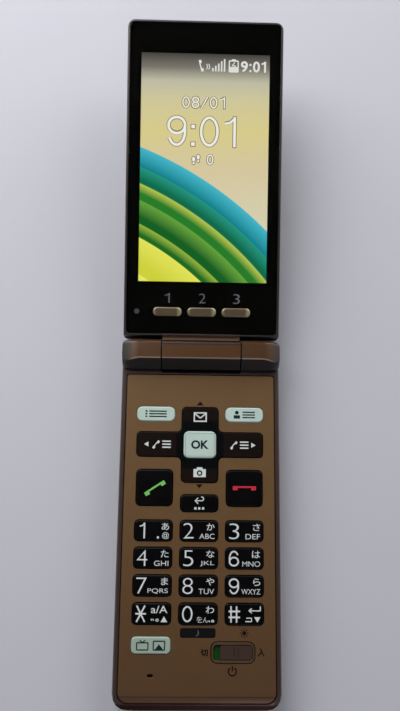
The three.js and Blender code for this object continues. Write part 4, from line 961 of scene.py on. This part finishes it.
# Display: a window of clear glass printed black round the picture on its underside, and the lit
# display module behind it.
glass_box_low, glass_box_high = lid_box("display_window")
glass_half_width, glass_low, glass_high = glass_box_high.x, glass_box_low.y, glass_box_high.y
glass_top, glass_under = glass_box_high.z, glass_box_low.z
screen_left, screen_right, screen_low, screen_high = -20.85, 21.05, 23.65, 98.2
mask_depth, mask_gap = 0.07, 0.01

window_glass = Finish("window_glass", Base_Color=(1, 1, 1, 1), Roughness=0.02, IOR=1.2,
                      Transmission_Weight=1.0)
softened_piece("display_window", "display_window_glass", "lid", window_glass, edge=0.1)

mask_ink = ink("mask_ink", tone(13, 12, 10))
mask_ink.set("Specular IOR Level", 0.0)
mask = bmesh.new()
mask_top = glass_under - mask_gap
for x0, x1, u0, u1 in ((-glass_half_width, glass_half_width, glass_low, screen_low),
                       (-glass_half_width, glass_half_width, screen_high, glass_high),
                       (-glass_half_width, screen_left, screen_low, screen_high),
                       (screen_right, glass_half_width, screen_low, screen_high)):
    size = Matrix.Diagonal((x1 - x0, u1 - u0, mask_depth, 1))
    place = Matrix.Translation(((x0 + x1) / 2, (u0 + u1) / 2, mask_top - mask_depth / 2))
    bmesh.ops.create_cube(mask, size=1, matrix=place @ size)
finished(on_lid(mask), "display_window_mask", "lid", mask_ink)

picture_finish = Finish("picture_light", Base_Color=(0, 0, 0, 1), Roughness=0.6, Emission_Strength=1.0,
                        Specular_IOR_Level=0.0)
flat = along_lid(picture_finish)
across, along = flat.part("X"), flat.part("Y")
sky_height = (along - screen_low) / (screen_high - screen_low)
sky_stops = [(0.0, tone(214, 216, 190)), (0.50, tone(214, 200, 160)), (0.66, tone(216, 204, 140)),
             (0.80, tone(208, 200, 156)), (0.88, tone(190, 188, 164)), (0.94, tone(120, 118, 108)),
             (1.0, tone(70, 66, 62))]
picture = sky_height.node("ShaderNodeValToRGB", {"stops": sky_stops}, {0: sky_height})
rings_across, rings_along = -64.0, -46.0
reach_across, reach_along = across - rings_across, along - rings_along
reach = (reach_across * reach_across + reach_along * reach_along).math("SQRT")
rings = [
    (121.5, tone(70, 184, 202), tone(18, 128, 140), 6), (115.5, tone(40, 150, 128), tone(14, 108, 76), 4),
    (110.5, tone(184, 202, 84), tone(40, 124, 42), 3), (105.5, tone(104, 164, 62), tone(22, 96, 36), 5),
    (98.5, tone(150, 184, 66), tone(28, 106, 36), 3), (94.5, tone(228, 228, 92), tone(206, 210, 60), 8),
    (84.0, tone(236, 236, 110), tone(196, 206, 58), 5), (76.0, tone(150, 184, 62), tone(112, 156, 44), 4),
]
ring_fade = 0.25
for radius, crest, body, depth in rings:
    inside = (radius - reach).step(ring_fade)
    shade = (radius - reach).step(depth)
    picture = inside.blend(picture, shade.blend(crest, body))
picture_finish.set("Emission Color", picture)
picture_gap, picture_depth, picture_lap, screen_corner = 0.2, 0.08, 0.3, 0.1
picture_top = glass_under - picture_gap
screen_middle = ((screen_left + screen_right) / 2, (screen_low + screen_high) / 2)
screen = rounded_block(screen_right - screen_left + 2 * picture_lap,
                       screen_high - screen_low + 2 * picture_lap, screen_corner,
                       picture_top - picture_depth, picture_top, screen_middle)
finished(on_lid(screen), "display_picture", "lid", picture_finish)
dressed(black_plastic, "display_module")


# Figures on the display: a clock, a date and a step count, white with a thin outline, and a plain
# white status row. They are lit like the picture and lie just above it.
def lit(name, colour):
    made = Finish(name, Base_Color=(0, 0, 0, 1), Roughness=0.6, Emission_Strength=1.0,
                  Specular_IOR_Level=0.0)
    made.set("Emission Color", made.place.noise(300).blend(tinted(colour, 0.94), colour))
    return made


figure_white = lit("figure_white", tone(240, 240, 232))
figure_line = lit("figure_line", tone(116, 102, 76))
status_white = lit("status_white", tone(226, 226, 220))
clock_span, clock_bar = (67.95, 77.85), 0.85
clock_nine, clock_zero, clock_one = (-12.2, -5.9), (-1.5, 4.7), (6.7, 10.3)
colon_span, colon_levels, colon_bar = (-4.3, -3.1), (0.75, 6.5), 1.2
date_low, date_high, date_bar = 80.5, 84.2, 0.42
date_zeros, date_eight, date_one = ((-7.4, -4.9), (1.6, 4.1)), (-4.3, -1.8), (5.0, 6.6)
slash_left, slash_right = -1.1, 0.9
steps_span, steps_zero = (62.1, 65.4), (0.9, 3.1)
footprints = ((-3.4, 0.0), (-1.9, 0.7))
toes, heel = (0.5, 0.9, 2.5), (0.38, 0, 0.75)
figure_thinning, outline_width, outline_weight = -0.01, 0.24, 0.12


def grown(span, grow):
    """A span made longer by grow at both ends."""
    return span[0] - grow, span[1] + grow


def clock_page(grow, lift):
    """All figures of the clock page, each bar wider by grow on both sides."""
    page = Print(picture_top + lift)
    wide, thin = clock_bar + 2 * grow, date_bar + 2 * grow
    clock, date = grown(clock_span, grow), grown((date_low, date_high), grow)
    page.nine(*grown(clock_nine, grow), *clock, wide)
    page.zero(*grown(clock_zero, grow), *clock, wide)
    page.one(clock_one[0], clock_one[1] + grow, *clock, wide)
    colon_left, colon_right = grown(colon_span, grow)
    for level in colon_levels:
        height = clock_span[0] + level
        page.bar((colon_left, height), (colon_right, height), colon_bar + 2 * grow)
    for span in date_zeros:
        page.zero(*grown(span, grow), *date, thin)
    page.letters("8", *grown(date_eight, grow), *date, figure_thinning + outline_weight * grow)
    page.bar((slash_left - grow / 2, date_low), (slash_right + grow / 2, date_high), thin)
    page.one(date_one[0], date_one[1] + grow, *date, thin)
    page.zero(*grown(steps_zero, grow), *grown(steps_span, grow), thin)
    for across, lifted in footprints:
        for half, low, high in (toes, heel):
            foot = steps_span[0] + lifted
            page.letters("●", *grown((across - half, across + half), grow),
                         *grown((foot + low, foot + high), grow))
    return page.bm


finished(on_lid(clock_page(outline_width, 0)), "clock_outline", "lid", figure_line)
finished(on_lid(clock_page(0, 2 * ink_depth)), "clock_figures", "lid", figure_white)

status_low, status_high, status_bar, status_weight = 92.6, 96.15, 0.65, 0.025
small_nine, small_zero, small_one = (11.6, 13.9), (15.55, 17.85), (18.35, 19.85)
small_colon_left, small_colon_right, small_colon_levels = 14.4, 15.05, (0.4, 2.4)
signal_bars = 5
signal_left, signal_pitch, signal_width, signal_first, signal_rise = 2.2, 0.95, 0.5, 1.1, 0.75
cell_left, cell_right, cell_fill, cell_bar = 7.8, 10.7, 1.6, 0.4
tip_left, tip_right, tip_height = 8.6, 9.9, 0.55
bolt = [(9.6, status_high - 0.5), (8.7, 94.6), (9.8, 94.6), (8.9, status_low + 0.5)]
wave = [(-0.3, 93.2), (0.0, 94.1), (-0.3, 95.0)]
status = Print(picture_top)
status.letters("9", *small_nine, status_low, status_high, status_weight)
status.letters("0", *small_zero, status_low, status_high, status_weight)
status.one(*small_one, status_low, status_high, status_bar)
for level in small_colon_levels:
    status.bar((small_colon_left, status_low + level), (small_colon_right, status_low + level), status_bar)
for rank in range(signal_bars):
    left = signal_left + signal_pitch * rank
    status.block(left, left + signal_width, status_low, status_low + signal_first + signal_rise * rank)
status.frame(cell_left, cell_right, status_low, status_high, cell_bar)
status.block(cell_left, cell_right, status_low, status_low + cell_fill)
status.block(tip_left, tip_right, status_high, status_high + tip_height)
status.line(bolt, width=0.3)
status.handset((-1.6, 94.3), length=3.8, turn=105, scale=0.62)
for reach in (0.7, 1.4):
    status.line([(x + reach, y) for x, y in wave], width=0.28)
finished(on_lid(status.bm), "status_row", "lid", status_white)


# Quick keys: three metal pills with rounded ends that stand a little proud of the glass, with
# printed numbers above them and a small sensor window at their left.
pill_pitch, pill_edge, pill_edge_steps, pill_slack = 11.2, 0.42, 6, 0.12
right_end_from, right_end_fade = 2.9, 0.8
left_end_from, left_end_fade, left_end_share = -3.4, 0.7, 0.45
quick_metal = Finish("quick_metal", Metallic=0.7, Coat_Weight=0.3, Coat_Roughness=0.1)
hairline = quick_metal.streaks(400, 5200, 5200)
pill_across = ((quick_metal.at("X") / pill_pitch + 0.5).math("FRACT") - 0.5) * pill_pitch
# Painted highlight: the pills' right ends, and faintly their left ends, are painted a pale champagne.
left_end_highlight = (left_end_from - pill_across).step(left_end_fade) * left_end_share
pill_end_highlight = (pill_across - right_end_from).step(right_end_fade) + left_end_highlight
brushed = hairline.blend(tone(112, 98, 78), tone(140, 122, 96))
quick_metal.set("Base Color", pill_end_highlight.blend(brushed, tone(200, 188, 148)))
quick_metal.rough(hairline, 0.26, 0.40)
quick_metal.bump(hairline, 0.004)
flange_gap = 0.3
for number in (1, 2, 3):
    node = f"quick_key_{number}"
    low, high = lid_box(node)
    radius = (high.y - low.y) / 2 - flange_width - pill_slack
    pill = flanged_cap(low, high, radius, glass_under - flange_gap, pill_edge, pill_edge_steps)
    finished(on_lid(pill), f"{node}_pill", node, quick_metal, [node])
quick_ink = ink("quick_ink", tone(122, 122, 128))
number_low, number_high, number_bar, number_weight = 16.65, 19.8, 0.36, -0.014
number_one, number_two, number_three = (-12.1, -10.5), (-0.95, 1.2), (10.15, 12.35)
quick_print = Print(glass_top)
quick_print.one(*number_one, number_low, number_high, number_bar)
quick_print.letters("2", *number_two, number_low, number_high, number_weight)
quick_print.letters("3", *number_three, number_low, number_high, number_weight)
finished(on_lid(quick_print.bm), "quick_key_numbers", "lid", quick_ink)
sensor_middle, sensor_half = (-21.15, 13.8), 0.85
sensor_ink = ink("sensor_ink", tone(72, 76, 78))
sensor = Print(glass_top)
sensor.dot(sensor_middle, sensor_half)
finished(on_lid(sensor.bm), "light_sensor_spot", "lid", sensor_ink)


# Back of the lid: a dark second window, glued in flush with the cover, and the camera's glass in its
# ring. Both are polished dark glass.
dark_glass = Finish("dark_glass", Coat_Weight=0.6, Coat_Roughness=0.04)
haze = dark_glass.place.noise(60, 3)
dark_glass.cover(haze, tone(6, 6, 8), tone(12, 12, 15), 0.08, 0.16)
softened_piece("sub_display_window", "sub_display_glass", "lid", dark_glass, edge=0.12)
softened_piece("camera_lens", "camera_lens_ring", "lid", dark_glass, edge=0.15)
